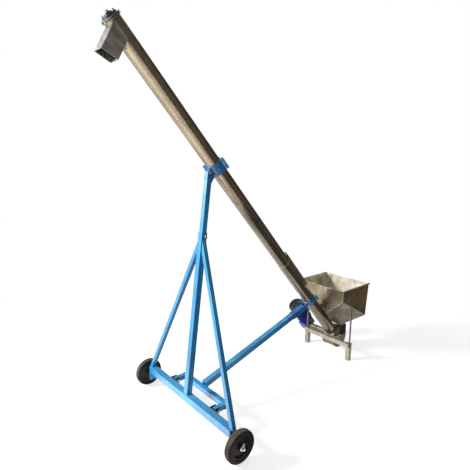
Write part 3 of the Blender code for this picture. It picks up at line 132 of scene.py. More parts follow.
class Graph:
    """A material's node tree, with its Principled shader."""

    def __init__(self, name):
        self.made = bpy.data.materials.new(name)
        self.made.use_nodes = True
        self.tree = self.made.node_tree
        self.shader = self.tree.nodes["Principled BSDF"]

    def add(self, kind, settings=None, **values):
        made = self.tree.nodes.new(kind)
        for key, value in (settings or {}).items():
            setattr(made, key, value)
        for key, value in values.items():
            self.put(made, key, value)
        return made

    def put(self, made, key, value):
        socket = made.inputs[key]
        if isinstance(value, bpy.types.NodeSocket):
            self.tree.links.new(value, socket)
        else:
            socket.default_value = value

    def math(self, operation, first, second):
        made = self.add("ShaderNodeMath", {"operation": operation})
        self.put(made, 0, first)
        self.put(made, 1, second)
        return made.outputs[0]

    def vector_math(self, operation, result, *values):
        made = self.add("ShaderNodeVectorMath", {"operation": operation})
        for index, value in enumerate(values):
            self.put(made, index, value)
        return made.outputs[result]

    def place(self, stretch=(1.0, 1.0, 1.0), turn=0.0):
        """Coordinates in metres that move with the piece, turned about Y."""
        where = self.add("ShaderNodeTexCoord").outputs["Object"]
        turned = self.add("ShaderNodeMapping", Vector=where, Rotation=(0.0, turn, 0.0))
        return self.add("ShaderNodeMapping", Vector=turned.outputs[0], Scale=stretch).outputs[0]

    def noise(self, scale, detail=3.0, where=None, distortion=0.0):
        if where is None:
            where = self.place()
        made = self.add("ShaderNodeTexNoise", Vector=where, Scale=scale, Detail=detail, Distortion=distortion)
        return made.outputs["Fac"]

    def spread(self, value, low, high, to_low=0.0, to_high=1.0, shape="LINEAR"):
        """The value, with low to high stretched to another range and held at its ends."""
        made = self.add("ShaderNodeMapRange", {"interpolation_type": shape}, Value=value)
        self.put(made, "From Min", low)
        self.put(made, "From Max", high)
        self.put(made, "To Min", to_low)
        self.put(made, "To Max", to_high)
        return made.outputs[0]

    def blend(self, amount, first, second):
        made = self.add("ShaderNodeMix", {"data_type": "RGBA"})
        self.put(made, 0, amount)
        self.put(made, 6, first + (1.0,) if isinstance(first, tuple) else first)
        self.put(made, 7, second + (1.0,) if isinstance(second, tuple) else second)
        return made.outputs[2]

    def rounded(self, radius):
        return self.add("ShaderNodeBevel", {"samples": 4}, Radius=radius).outputs[0]

    def edges(self, radius, gain):
        """1 along outer and inner edges of the piece, 0 on its flats."""
        normal = self.add("ShaderNodeNewGeometry").outputs["Normal"]
        alike = self.vector_math("DOT_PRODUCT", "Value", self.rounded(radius), normal)
        bend = self.math("MULTIPLY", self.math("SUBTRACT", 1.0, alike), gain)
        return self.add("ShaderNodeClamp", Value=bend).outputs[0]

    def facing_up(self, low, high):
        normal = self.add("ShaderNodeNewGeometry").outputs["Normal"]
        apart = self.add("ShaderNodeSeparateXYZ", Vector=normal)
        return self.spread(apart.outputs["Z"], low, high)

    def facing(self, point):
        """1 on faces turned towards a point on the part, 0 on those turned away."""
        normal = self.add("ShaderNodeNewGeometry").outputs["Normal"]
        towards = self.vector_math("SUBTRACT", "Vector", point, self.place())
        return self.spread(self.vector_math("DOT_PRODUCT", "Value", towards, normal), -0.002, 0.002)

    def near(self, point, size):
        """1 at a point on the part, ragged, 0 beyond the size."""
        gap = self.vector_math("DISTANCE", "Value", self.place(), point)
        ragged = self.math("ADD", gap, self.spread(self.noise(9.0, 4.0), 0.0, 1.0, -0.06, 0.06))
        return self.spread(ragged, size * 0.35, size, 1.0, 0.0)

    def below(self, height, band):
        """1 under a height on the part, 0 above it, with a soft band between."""
        apart = self.add("ShaderNodeSeparateXYZ", Vector=self.place())
        return self.spread(apart.outputs["Z"], height - band, height + band, 1.0, 0.0)

    def bump(self, height, distance, radius=EDGE_ROUND):
        """Fine relief over softly rounded edges."""
        made = self.add("ShaderNodeBump", Height=height, Distance=distance, Normal=self.rounded(radius))
        return made.outputs[0]

    def finish(self, colour, roughness, normal, **fixed):
        self.put(self.shader, "Base Color", colour)
        self.put(self.shader, "Roughness", roughness)
        if normal is not None:
            self.put(self.shader, "Normal", normal)
        for key, value in fixed.items():
            self.put(self.shader, key.replace("_", " "), value)
        return self.made

    def surface(self, shader):
        """The material with another shader in place of the Principled one."""
        self.tree.nodes.remove(self.shader)
        self.put(self.tree.nodes["Material Output"], "Surface", shader)
        return self.made


# ---- finishes -----------------------------------------------------------------------
DUST = (0.42, 0.38, 0.31)
CHIP = (0.05, 0.05, 0.06)
STEEL_EDGE_HIGHLIGHT = (0.78, 0.75, 0.68)       # painted highlight along a sheet's edges
HOPPER_EDGE_HIGHLIGHT = (0.86, 0.83, 0.74)
MACHINED_EDGE_HIGHLIGHT = (0.8, 0.8, 0.78)
LOWER_SHADE_BAND = 0.06                    # half the soft band at the top of the hopper's painted shade on its lower part
REFLECTION_SIZE = 0.15                     # of the hopper's painted orange reflection
REFLECTION_INSET = 0.11                    # from the hopper's end wall to the painted reflection
REFLECTION_DROP = 0.13                     # from the hopper's rim to the painted reflection


def paint(name, deep, main, edge, sheen, gloss=0.5):
    """Sprayed enamel: uneven tone, a painted highlight along the edges broken up by noise, orange peel and some
    dust.
    """
    g = Graph(name)
    colour = g.blend(g.spread(g.noise(3.0, 4.0), 0.35, 0.65), deep, main)
    streak = g.noise(9.0, 5.0, g.place((1.0, 1.0, 0.12)))
    colour = g.blend(g.spread(streak, 0.5, 0.8, 0.0, 0.16), colour, edge)
    # Painted highlight: the pale edge colour laid along the edges, broken up by noise.
    painted_edge_highlight = g.math("MULTIPLY", g.edges(SOFT_ROUND, 3.2), g.spread(g.noise(34.0, 4.0), 0.30, 0.62))
    colour = g.blend(painted_edge_highlight, colour, edge)
    grit = g.math("MULTIPLY", g.facing_up(0.5, 1.0), g.spread(g.noise(60.0, 6.0), 0.4, 0.7, 0.0, 0.24))
    colour = g.blend(grit, colour, DUST)
    chip = g.spread(g.noise(120.0, 2.0, distortion=0.6), 0.735, 0.76)
    colour = g.blend(chip, colour, CHIP)
    rough = g.spread(g.noise(16.0, 5.0), 0.3, 0.7, sheen - 0.07, sheen + 0.12)
    peel = g.bump(g.noise(420.0, 2.0), 0.00025)
    return g.finish(colour, rough, peel, Coat_Weight=0.8 * gloss, Coat_Roughness=0.25,
                    Specular_IOR_Level=gloss)


def stainless(name, dark, main, light, roughness, metal, along=0.0, grain=(1.0, 26.0, 26.0),
              depth=0.00022, patchy=0.12):
    """Rolled sheet or tube: grain along it, smudges and pale scuffs; where depth is not 0, a painted highlight
    along the edges; polished where depth is 0.
    """
    g = Graph(name)
    cloud = g.noise(2.6, 5.0, distortion=0.5)
    colour = g.blend(g.spread(cloud, 0.34, 0.66), dark, main)
    line = g.noise(14.0, 6.0, g.place(grain, along))
    colour = g.blend(g.spread(line, 0.44, 0.76, 0.0, 0.5), colour, light)
    smudge = g.spread(g.noise(7.0, 4.0, distortion=1.2), 0.50, 0.72, 0.0, 0.55)
    colour = g.blend(smudge, colour, dark)
    brushed = None
    if depth:
        # Painted highlight along the edges.
        colour = g.blend(g.math("MULTIPLY", g.edges(EDGE_ROUND, 2.6), 0.65), colour, STEEL_EDGE_HIGHLIGHT)
        fine = g.noise(30.0, 3.0, g.place(tuple(4.0 * k for k in grain), along))
        brushed = g.bump(fine, depth)
    patches = g.blend(0.5, g.noise(7.0, 5.0), line)
    rough = g.spread(patches, 0.30, 0.70, roughness - 0.8 * patchy, roughness + 1.2 * patchy)
    return g.finish(colour, rough, brushed, Metallic=metal)


def hopper_steel(name, middle, reflection_spot):
    """Sheet steel, weathered brown outside, with painted shade on its lower part, a painted orange reflection at
    one spot, painted light making it pale inside, and a painted highlight along its folds and edges.
    """
    g = Graph(name)
    cloud = g.noise(5.0, 5.0, distortion=0.7)
    outer = g.blend(g.spread(cloud, 0.36, 0.64), (0.130, 0.100, 0.060), (0.30, 0.252, 0.165))
    rust = g.spread(g.noise(4.2, 4.0, distortion=1.4), 0.58, 0.74, 0.0, 0.35)
    outer = g.blend(rust, outer, (0.36, 0.17, 0.065))
    # Painted shade: the hopper darker below its middle height, where its lower faces turn away from the light.
    outer = g.blend(g.math("MULTIPLY", g.below(middle.z, LOWER_SHADE_BAND), 0.6), outer, (0.13, 0.095, 0.055))
    # Painted reflection: a ragged orange patch on the hopper's -Y side wall.
    outer = g.blend(g.math("MULTIPLY", g.near(reflection_spot, REFLECTION_SIZE), 0.65), outer, (0.44, 0.235, 0.10))
    # Painted light: the inside faces in pale cream, brighter than the outside.
    inner = g.blend(g.spread(cloud, 0.32, 0.66), (0.34, 0.28, 0.18), (0.92, 0.89, 0.76))
    colour = g.blend(g.facing(middle), outer, inner)
    scuff = g.spread(g.noise(26.0, 6.0, g.place((1.0, 1.0, 0.3))), 0.58, 0.72, 0.0, 0.4)
    colour = g.blend(scuff, colour, (0.80, 0.76, 0.66))
    # Painted highlight along the folds and edges.
    colour = g.blend(g.math("MULTIPLY", g.edges(0.0014, 3.4), 0.8), colour, HOPPER_EDGE_HIGHLIGHT)
    rough = g.spread(g.noise(9.0, 5.0), 0.30, 0.70, 0.26, 0.46)
    return g.finish(colour, rough, g.bump(g.noise(7.0, 3.0), 0.002), Metallic=0.55)


def machined(name, dark, main, roughness, metal=0.9):
    """Turned, cast or plated metal with a painted highlight along its edges."""
    g = Graph(name)
    colour = g.blend(g.spread(g.noise(18.0, 5.0), 0.35, 0.65), dark, main)
    # Painted highlight along the edges.
    colour = g.blend(g.math("MULTIPLY", g.edges(EDGE_ROUND, 2.5), 0.6), colour, MACHINED_EDGE_HIGHLIGHT)
    rough = g.spread(g.noise(40.0, 4.0), 0.3, 0.7, roughness - 0.08, roughness + 0.12)
    return g.finish(colour, rough, g.bump(g.noise(260.0, 3.0), 0.0002, FINE_ROUND), Metallic=metal)


def moulded(name, dark, main, roughness, dust, scale=150.0, height=0.0003):
    """Rubber or plastic: matte skin, fine pebble and dust in the hollows."""
    g = Graph(name)
    colour = g.blend(g.spread(g.noise(24.0, 5.0), 0.35, 0.65), dark, main)
    film = g.spread(g.noise(6.0, 6.0, distortion=0.8), 0.46, 0.74, 0.0, 0.35)
    colour = g.blend(film, colour, dust)
    colour = g.blend(g.math("MULTIPLY", g.edges(SOFT_ROUND, 2.0), 0.4), colour, dust)
    rough = g.spread(g.noise(30.0, 4.0), 0.3, 0.7, roughness - 0.08, roughness + 0.10)
    return g.finish(colour, rough, g.bump(g.noise(scale, 4.0), height), Specular_IOR_Level=0.14)


# The third colour of each paint is its pale tone, used for streaks and for the painted highlight along edges.
BLUE = paint("sprayed_blue", (0.002, 0.180, 0.41), (0.005, 0.265, 0.55), (0.20, 0.66, 0.90), 0.34)
BRIGHT_BLUE = paint("fitting_blue", (0.002, 0.085, 0.27), (0.004, 0.20, 0.50), (0.04, 0.58, 0.88), 0.32)
MOTOR_BLUE = paint("motor_enamel", (0.001, 0.007, 0.18), (0.001, 0.016, 0.42), (0.01, 0.16, 0.80),
                   sheen=0.36, gloss=0.25)
TEAL = paint("casting_teal", (0.006, 0.02, 0.03), (0.010, 0.06, 0.085), (0.05, 0.22, 0.28), 0.45)
BLACK_STEEL = paint("black_lacquer", (0.006, 0.006, 0.010), (0.016, 0.018, 0.028), (0.08, 0.10, 0.16), 0.40)

SHEET_GRAIN = (2.2, 2.2, 0.6)
TUBE_STEEL = stainless("tube_steel", (0.165, 0.136, 0.098), (0.28, 0.238, 0.178), (0.42, 0.375, 0.30),
                       roughness=0.17, metal=0.96, along=TUBE_SLOPE, grain=(0.3, 6.0, 6.0),
                       depth=0.0, patchy=0.03)
FLANGE_STEEL = stainless("flange_steel", (0.10, 0.10, 0.10), (0.27, 0.27, 0.27), (0.62, 0.62, 0.61),
                         roughness=0.30, metal=0.94)
SHEET_STEEL = stainless("sheet_steel", (0.22, 0.155, 0.085), (0.46, 0.39, 0.265), (0.72, 0.67, 0.53),
                        roughness=0.34, metal=0.60, grain=SHEET_GRAIN)
SPOUT_STEEL = stainless("spout_steel", (0.17, 0.16, 0.145), (0.38, 0.37, 0.35), (0.70, 0.69, 0.66),
                        roughness=0.38, metal=0.85, along=TUBE_SLOPE, grain=(2.5, 2.5, 0.6))
# Painted shade: a darker, duller copy of the stainless for the drum, its covers and the drive housing, which sit
# in shade under the hopper.
SHADED_DRUM_STEEL = stainless("shaded_drum_steel", (0.085, 0.062, 0.040), (0.20, 0.158, 0.108), (0.40, 0.35, 0.26),
                       roughness=0.58, metal=0.40, grain=SHEET_GRAIN)
LEG_STEEL = stainless("leg_steel", (0.26, 0.225, 0.17), (0.42, 0.375, 0.29), (0.74, 0.70, 0.60),
                      roughness=0.50, metal=0.6, grain=(9.0, 9.0, 1.0))

ZINC = machined("zinc_plate", (0.34, 0.34, 0.33), (0.66, 0.67, 0.66), 0.32)
BARE = machined("turned_steel", (0.22, 0.21, 0.19), (0.46, 0.45, 0.42), 0.34)
# Painted highlight: the pale colour of the beads along the hopper's folds.
SEAM_HIGHLIGHT_STEEL = machined("seam_highlight_steel", (0.55, 0.50, 0.40), (0.86, 0.82, 0.70), 0.45, 0.3)
# Painted highlight: the pale colour of the band on the fan cover's rim.
MOTOR_RIM_HIGHLIGHT = machined("motor_rim_highlight", (0.55, 0.56, 0.58), (0.88, 0.89, 0.90), 0.4, 0.2)

BLACK_PLASTIC = moulded("black_plastic", (0.008, 0.008, 0.009), (0.020, 0.020, 0.022), 0.50,
                        (0.09, 0.085, 0.08))
SEAL_RUBBER = moulded("seal_rubber", (0.006, 0.006, 0.006), (0.016, 0.015, 0.014), 0.62, (0.07, 0.06, 0.05))
TYRE_RUBBER = moulded("tyre_rubber", (0.004, 0.004, 0.004), (0.010, 0.009, 0.008), 0.60,
                      (0.05, 0.045, 0.04), scale=220.0, height=0.0005)
TREAD_RUBBER = moulded("tread_rubber", (0.050, 0.042, 0.032), (0.11, 0.092, 0.072), 0.78,
                       (0.22, 0.19, 0.15), scale=260.0, height=0.0006)

hopper_low, hopper_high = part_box("hopper_shell")
hopper_reflection_spot = Vector((hopper_high.x - REFLECTION_INSET, hopper_low.y, hopper_high.z - REFLECTION_DROP))
HOPPER_STEEL = hopper_steel("hopper_steel", (hopper_low + hopper_high) / 2, hopper_reflection_spot)

FINISHES = {
    "frame_blue": BLUE,
    "clamp_blue": BRIGHT_BLUE,
    "motor_blue": MOTOR_BLUE,
    "stainless": SHEET_STEEL,
    "cast_teal": TEAL,
    "zinc": ZINC,
    "bare_steel": BARE,
    "black_steel": BLACK_STEEL,
    "black_plastic": BLACK_PLASTIC,
    "seal_rubber": SEAL_RUBBER,
    "tyre_rubber": TYRE_RUBBER,
}
OWN_FINISHES = {
    "boot_drum": SHADED_DRUM_STEEL,
    "drum_cover_left": SHADED_DRUM_STEEL,
    "drum_cover_right": SHADED_DRUM_STEEL,
    "drive_housing": SHADED_DRUM_STEEL,
    "hopper_shell": HOPPER_STEEL,
    "auger_tube_lower": TUBE_STEEL,
    "auger_tube_upper": TUBE_STEEL,
    "tube_sleeve": TUBE_STEEL,
    "back_channel": TUBE_STEEL,
    "end_flange": FLANGE_STEEL,
    "bearing_plate": FLANGE_STEEL,
    "discharge_spout": SPOUT_STEEL,
    "hopper_stand": LEG_STEEL,
    "hopper_stay_left": LEG_STEEL,
    "hopper_stay_right": LEG_STEEL,
}


def dress_nodes():
    """Every CAD part gets the finish of its slot, or its own."""
    for part in frame["record"]["subparts"]:
        name = part["node"]
        made = OWN_FINISHES.get(name, FINISHES[part["material_slot"]])
        mesh = nodes[name].data
        mesh.materials.clear()
        mesh.materials.append(made)


# ---- shapes --------------------------------------------------------------------------
SHARP = radians(40.0)
DOME = ((1.0, 0.0), (1.0, 0.35), (0.86, 0.7), (0.5, 0.95))   # shares of a dome's radius and height
DOME_STEPS = 12
RIPPLE_PITCH = 0.55                  # between the ripples of a weld, as a share of its size


def add_piece(name, shape, body, slot, *finishes):
    """A piece of the visual model that moves with a body."""
    mesh = bpy.data.meshes.new(name)
    bmesh.ops.recalc_face_normals(shape, faces=shape.faces)
    shape.to_mesh(mesh)
    shape.free()
    mesh.shade_smooth()
    mesh.set_sharp_from_angle(angle=SHARP)
    for made in finishes:
        mesh.materials.append(made)
    piece = bpy.data.objects.new(name, mesh)
    bpy.context.scene.collection.objects.link(piece)
    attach(piece, body)
    return piece


def circle(place, radius, height, count):
    """Points round the third axis of place."""
    turns = [2 * pi * step / count for step in range(count)]
    return [place @ Vector((radius * cos(turn), radius * sin(turn), height)) for turn in turns]


def sweep(shape, path, sizes, sides=8, closed=False):
    """A round bead along a path, with a radius at each of its points."""
    rings = []
    count = len(path)
    for step, spot in enumerate(path):
        before = path[step - 1] if closed or step else spot
        after = path[(step + 1) % count] if closed or step + 1 < count else spot
        ahead = (after - before).normalized()
        turn = ahead.to_track_quat("Z", "Y").to_matrix()
        ring = []
        for side in range(sides):
            angle = 2 * pi * side / sides
            ring.append(shape.verts.new(spot + turn @ Vector((cos(angle), sin(angle), 0.0)) * sizes[step]))
        rings.append(ring)
    pairs = list(zip(rings, rings[1:]))
    if closed:
        pairs.append((rings[-1], rings[0]))
    for near, far in pairs:
        shift = 0
        if closed and near is rings[-1]:   # the first ring may be turned against the last
            shift = min(range(sides), key=lambda k: (near[0].co - far[k].co).length)
        for side in range(sides):
            after = (side + 1) % sides
            opposite = far[(after + shift) % sides], far[(side + shift) % sides]
            shape.faces.new((near[side], near[after], *opposite))
    if not closed:
        shape.faces.new(reversed(rings[0]))
        shape.faces.new(rings[-1])


def weld(name, body, slot, made, corners, size=0.0026):
    """A hand-laid, rippled bead round a closed line of corners."""
    path = []
    for start, stop in zip(corners, corners[1:] + corners[:1]):
        count = max(2, int((stop - start).length / (RIPPLE_PITCH * size)))
        path += [start.lerp(stop, step / count) for step in range(count)]
    ripples = [0.84 + 0.16 * cos(pi * step) + 0.06 * sin(0.7 * step) for step in range(len(path))]
    shape = bmesh.new()
    sweep(shape, path, [size * ripple for ripple in ripples], 6, closed=True)
    add_piece(name, shape, body, slot, made)


def lathe(shape, profile, place, steps, wave=None, finish=None):
    """A closed profile of (radius, height) turned about the third axis of place."""
    rings = []
    for step in range(steps):
        turn = 2 * pi * step / steps
        ring = []
        for index, (radius, height) in enumerate(profile):
            if wave:
                radius += wave(step, index)
            ring.append(shape.verts.new(place @ Vector((radius * cos(turn), radius * sin(turn), height))))
        rings.append(ring)
    count = len(profile)
    for near, far in zip(rings, rings[1:] + rings[:1]):
        for index in range(count):
            after = (index + 1) % count
            face = shape.faces.new((near[index], near[after], far[after], far[index]))
            if finish:
                face.material_index = finish(index)


def dome(shape, place, radius, height):
    """A rivet or screw head: flat seat, rounded top."""
    rings = []
    for across, up in DOME:
        spots = circle(place, radius * across, height * up, DOME_STEPS)
        rings.append([shape.verts.new(spot) for spot in spots])
    for near, far in zip(rings, rings[1:]):
        for side in range(DOME_STEPS):
            after = (side + 1) % DOME_STEPS
            shape.faces.new((near[side], near[after], far[after], far[side]))
    shape.faces.new(reversed(rings[0]))
    shape.faces.new(rings[-1])


# ---- wheels ---------------------------------------------------------------------------
TYRE_BORE = 0.0895                   # where the tyre sits on its rim
# The wall's outline, as places out from the bore or in from the tread, and in from the tyre's side.
TYRE_BEAD = ((0.0, 0.004), (0.004, 0.0015), (0.007, 0.0032), (0.010, 0.0008))
TYRE_WALL = ((0.014, 0.0), (0.012, 0.0016), (0.010, 0.0004), (0.004, 0.0020))
SHOULDER = 0.008                     # from the tyre's side to its tread
TREAD_RIBS = 5
RIB_CORNER = (0.0005, 0.0004)        # a rib's first corner, in from its top and along its band
RIB_TOP = (0.25, 0.68)               # start and end of a rib's top, as shares of its band
GROOVE = (0.78, 0.94)                # start and end of the groove beside it
GROOVE_DEPTH = 0.0030
TREAD_NOTCHES = 96
NOTCH_DEPTH = 0.0016
RIM_RIBS = 8
RIM_RIB_PLACES = (0.026, 0.045, 0.064, 0.078)
RIM_RIB_SIZES = (0.0085, 0.0075, 0.0070, 0.0080)


def make_tyre(side):
    """A notched, ribbed tread between plain walls, in place of the CAD tyre."""
    low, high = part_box("tyre_" + side)
    outer = (high.z - low.z) / 2
    half = (high.y - low.y) / 2
    wall = [(TYRE_BORE + rise, -half + inset) for rise, inset in TYRE_BEAD]
    wall += [(outer - drop, -half + inset) for drop, inset in TYRE_WALL]
    profile = list(wall)
    band = 2 * (half - SHOULDER) / TREAD_RIBS
    crests = []
    for rib in range(TREAD_RIBS):
        start = -half + SHOULDER + rib * band
        profile += [(outer - RIB_CORNER[0], start + RIB_CORNER[1])]
        profile += [(outer, start + share * band) for share in RIB_TOP]
        crests += range(len(profile) - 3, len(profile))
        if rib + 1 < TREAD_RIBS:
            profile += [(outer - GROOVE_DEPTH, start + share * band) for share in GROOVE]
    tread_end = len(profile)
    profile += [(radius, -height) for radius, height in reversed(wall)]

    def notch(step, index):
        return -NOTCH_DEPTH if index in crests and step % 3 == 0 else 0.0

    def rubber(index):
        return 1 if len(wall) - 1 <= index < tread_end else 0

    shape = bmesh.new()
    lathe(shape, profile, side_axes((low + high) / 2), 3 * TREAD_NOTCHES, notch, rubber)
    tyre = add_piece("treaded_tyre_" + side, shape, "wheel_" + side, "tyre_rubber", TYRE_RUBBER, TREAD_RUBBER)
    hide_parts("tyre_" + side)


def make_rim_ribs(side):
    """Cast ribs on both faces of the rim's web."""
    low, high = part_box("rim_" + side)
    centre = (low + high) / 2
    shape = bmesh.new()
    for step in range(RIM_RIBS):
        turn = 2 * pi * step / RIM_RIBS
        out = Vector((cos(turn), 0.0, sin(turn)))
        sweep(shape, [centre + out * place for place in RIM_RIB_PLACES], RIM_RIB_SIZES)
    add_piece("rim_ribs_" + side, shape, "wheel_" + side, "black_plastic", BLACK_PLASTIC)


# ---- welds ----------------------------------------------------------------------------
BEAD_STEPS = 72                      # points of a bead round the tube
THIN_BEAD = 0.0020
PLATE_BEAD = 0.0022
SLEEVE_BEAD = 0.0024
SLEEVE_WALL = 0.001


def make_frame_welds():
    """Beads at the feet of the mast, struts and drawbar, the struts' heads and the axle's end plates."""
    weld("mast_foot_weld", "frame", "frame_blue", BLUE, end_corners("mast_outer", 2, -1))
    for side, hand in (("left", 1), ("right", -1)):
        strut = "strut_" + side
        weld("strut_foot_weld_" + side, "frame", "frame_blue", BLUE, end_corners(strut, 2, -1))
        weld("strut_head_weld_" + side, "frame", "frame_blue", BLUE, end_corners(strut, 1, -hand))
        plate = end_corners("axle_beam", 1, hand)
        weld("end_plate_weld_" + side, "frame", "frame_blue", BLUE, plate, PLATE_BEAD)
    weld("drawbar_foot_weld", "drawbar", "frame_blue", BLUE, end_corners("drawbar", 0, -1))


def make_tube_welds():
    """Beads round the tube's top and its sleeve, and the saddle where it enters the drum."""
    top = reach("auger_tube_upper", DRUM, ALONG)[1]
    flange = circle(TUBE_AXES, TUBE_RADIUS, top, BEAD_STEPS)
    weld("flange_weld", "auger", "stainless", FLANGE_STEEL, flange, THIN_BEAD)
    for name, along in zip(("low", "high"), reach("tube_sleeve", DRUM, ALONG)):
        edge = circle(TUBE_AXES, TUBE_RADIUS + SLEEVE_WALL, along, BEAD_STEPS)
        weld("sleeve_edge_" + name, "auger", "stainless", SPOUT_STEEL, edge, SLEEVE_BEAD)
    drum = widest("boot_drum", DRUM, ASIDE)
    saddle = []
    for step in range(BEAD_STEPS):
        turn = 2 * pi * step / BEAD_STEPS
        lift = TUBE_RADIUS * cos(turn)
        saddle.append(TUBE_AXES @ Vector((lift, TUBE_RADIUS * sin(turn), sqrt(drum * drum - lift * lift))))
    weld("drum_saddle_weld", "auger", "stainless", SPOUT_STEEL, saddle, SLEEVE_BEAD)


# ---- motor ------------------------------------------------------------------------------
# The outline of the pale band that paints a highlight on the fan cover's rim, as places out from the fan cover and
# up from its foot.
MOTOR_HIGHLIGHT_BAND = ((0.0004, 0.004), (0.0018, 0.005), (0.0018, 0.015), (0.0004, 0.016))
MOTOR_HIGHLIGHT_BAND_STEPS = 64
GRILLE_RINGS = (0.30, 0.49, 0.68, 0.87)   # shares of the fan cover's radius
GRILLE_SPOKE = (0.12, 0.5, 0.9)
GRILLE_SPOKES = 8
GRILLE_STEPS = 40
RING_WIRE = 0.0012
SPOKE_WIRE = 0.0013
RING_DROP = 0.0009                   # from the end of the cover to the middle of the wire
SPOKE_DROP = 0.0010
SCREW_PLACES = (0.14, 0.86)          # shares of the terminal box's sides
SCREW_RADIUS = 0.003
SCREW_HEIGHT = 0.0012


def make_motor_highlight_band():
    """A pale band at the foot of the fan cover: a painted highlight on its rim."""
    base = reach("fan_cover", MOTOR, ALONG)[0]
    radius = widest("fan_cover", MOTOR, ALONG)
    shape = bmesh.new()
    lathe(shape, [(radius + out, base + up) for out, up in MOTOR_HIGHLIGHT_BAND], MOTOR_AXES, MOTOR_HIGHLIGHT_BAND_STEPS)
    add_piece("motor_highlight_band", shape, "auger", "zinc", MOTOR_RIM_HIGHLIGHT)


def make_fan_grille():
    """Rings and spokes of wire on the end of the fan cover."""
    top = reach("fan_cover", MOTOR, ALONG)[1]
    radius = widest("fan_cover", MOTOR, ALONG)
    shape = bmesh.new()
    for share in GRILLE_RINGS:
        path = circle(MOTOR_AXES, radius * share, top - RING_DROP, GRILLE_STEPS)
        sweep(shape, path, [RING_WIRE] * GRILLE_STEPS, 6, closed=True)
    for spoke in range(GRILLE_SPOKES):
        turn = 2 * pi * spoke / GRILLE_SPOKES
        out = Vector((radius * cos(turn), radius * sin(turn), 0.0))
        path = [MOTOR_AXES @ (share * out + (top - SPOKE_DROP) * UP) for share in GRILLE_SPOKE]
        sweep(shape, path, [SPOKE_WIRE] * len(path), 6)
    add_piece("fan_grille", shape, "auger", "black_plastic", BLACK_PLASTIC)


def make_box_screws():
    """Four screw heads, set into the outer face of the terminal box."""
    low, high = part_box("terminal_box")
    shape = bmesh.new()
    for across in SCREW_PLACES:
        for up in SCREW_PLACES:
            spot = Vector((low.x + across * (high.x - low.x), high.y, low.z + up * (high.z - low.z)))
            dome(shape, side_axes(spot - SCREW_HEIGHT * ASIDE), SCREW_RADIUS, SCREW_HEIGHT)
    add_piece("box_screws", shape, "auger", "zinc", ZINC)


# ---- hopper -----------------------------------------------------------------------------
FOLD_LENGTH = 0.08                   # a shorter fold carries no seam
FOLD_TURN = radians(14.0)            # nor does a flatter one
SHEET_LIMIT = 0.004                  # a face narrower than this is a sheet's cut edge
SEAM_SIZE = 0.0028
SEAM_STEP = 0.012
SEAM_ROOM = 0.06                     # from a seam to the tube, which swings against the hopper
RIVETS = 9
RIVET_INSET = 0.009
RIVET_PITCH = 0.062
RIVET_RADIUS = 0.0042
RIVET_HEIGHT = 0.0022


def folds(node):
    """The outward folds between two broad faces of a node, as pairs of points."""
    shape = bmesh.new()
    shape.from_mesh(nodes[node].data)
    bmesh.ops.remove_doubles(shape, verts=shape.verts, dist=1e-5)
    bmesh.ops.recalc_face_normals(shape, faces=shape.faces)
    bmesh.ops.dissolve_limit(shape, angle_limit=radians(1.0), verts=shape.verts, edges=shape.edges)
    found = []
    for edge in shape.edges:
        long_enough = edge.calc_length() > FOLD_LENGTH and len(edge.link_faces) == 2
        if not long_enough or not edge.is_convex or edge.calc_face_angle() < FOLD_TURN:
            continue
        if min(face.calc_area() for face in edge.link_faces) < SHEET_LIMIT * edge.calc_length():
            continue
        found.append(tuple(corner.co.copy() for corner in edge.verts))
    shape.free()
    return found


def make_fold_seams(name, node, body):
    """A weld bead along each fold of a sheet part, in a pale colour that paints the fold's highlight, stopping
    short of the tube.
    """
    shape = bmesh.new()
    for fold in folds(node):
        far, near = sorted(fold, key=off_tube, reverse=True)
        steps = max(6, int((near - far).length / SEAM_STEP))
        path = [far.lerp(near, (step + 0.5) / steps) for step in range(steps)]
        close = [step for step in range(steps) if off_tube(path[step]) < TUBE_RADIUS + SEAM_ROOM]
        path = path[:close[0]] if close else path
        if len(path) < 3:
            continue
        sizes = [SEAM_SIZE * (1.0 + 0.22 * sin(2.1 * step) * cos(0.7 * step)) for step in range(len(path))]
        sweep(shape, path, sizes)
    add_piece(name, shape, body, "stainless", SEAM_HIGHLIGHT_STEEL)


def make_rim_rivets():
    """A row of rivets on the hopper's rim, along the side away from the tube."""
    start = -RIVET_PITCH * (RIVETS - 1) / 2
    first = Vector((hopper_high.x - RIVET_INSET, start, hopper_high.z - RIVET_HEIGHT))
    shape = bmesh.new()
    for index in range(RIVETS):
        spot = first + index * RIVET_PITCH * ASIDE
        dome(shape, Matrix.Translation(spot), RIVET_RADIUS, RIVET_HEIGHT)
    add_piece("rim_rivets", shape, "hopper", "zinc", ZINC)


# ---- floor and light --------------------------------------------------------------------
FLOOR_SIZE = 60.0
FLOOR_GAP = 0.0005                   # below the wheels
FLOOR_TONE = (0.45, 0.45, 0.45)
FLOOR_GLOW = 0.70                    # under the part; 1 further off
FLOOR_NEAR = 2.2                     # the shadows fade out from here
FLOOR_FAR = 4.2                      # to here
WORLD_LEVEL = 0.40
MIDDLE = Vector((0.0, 0.0, 1.1))
KEY_FROM = Vector((-0.78, 0.51, 0.36))   # low and from the spout's far side
KEY_AWAY = 6.5
KEY_SIZE = 1.2
KEY_POWER = 680.0
TOP_AT = Vector((0.3, 0.6, 6.2))
TOP_SIZE = 4.0
TOP_POWER = 40.0
DARK = (0.11, 0.098, 0.08)
DUSK = (0.24, 0.215, 0.185)
WARM = (1.0, 0.96, 0.88)
SKY = (0.92, 0.96, 1.0)
BOARD_AWAY = 7.0
BOARD_WIDTH = 7.0
BOARD_HEIGHT = 11.0
BOARDS = ((-100.0, DUSK), (-55.0, DUSK), (-10.0, DARK), (30.0, DARK), (66.0, DARK))   # degrees from +X
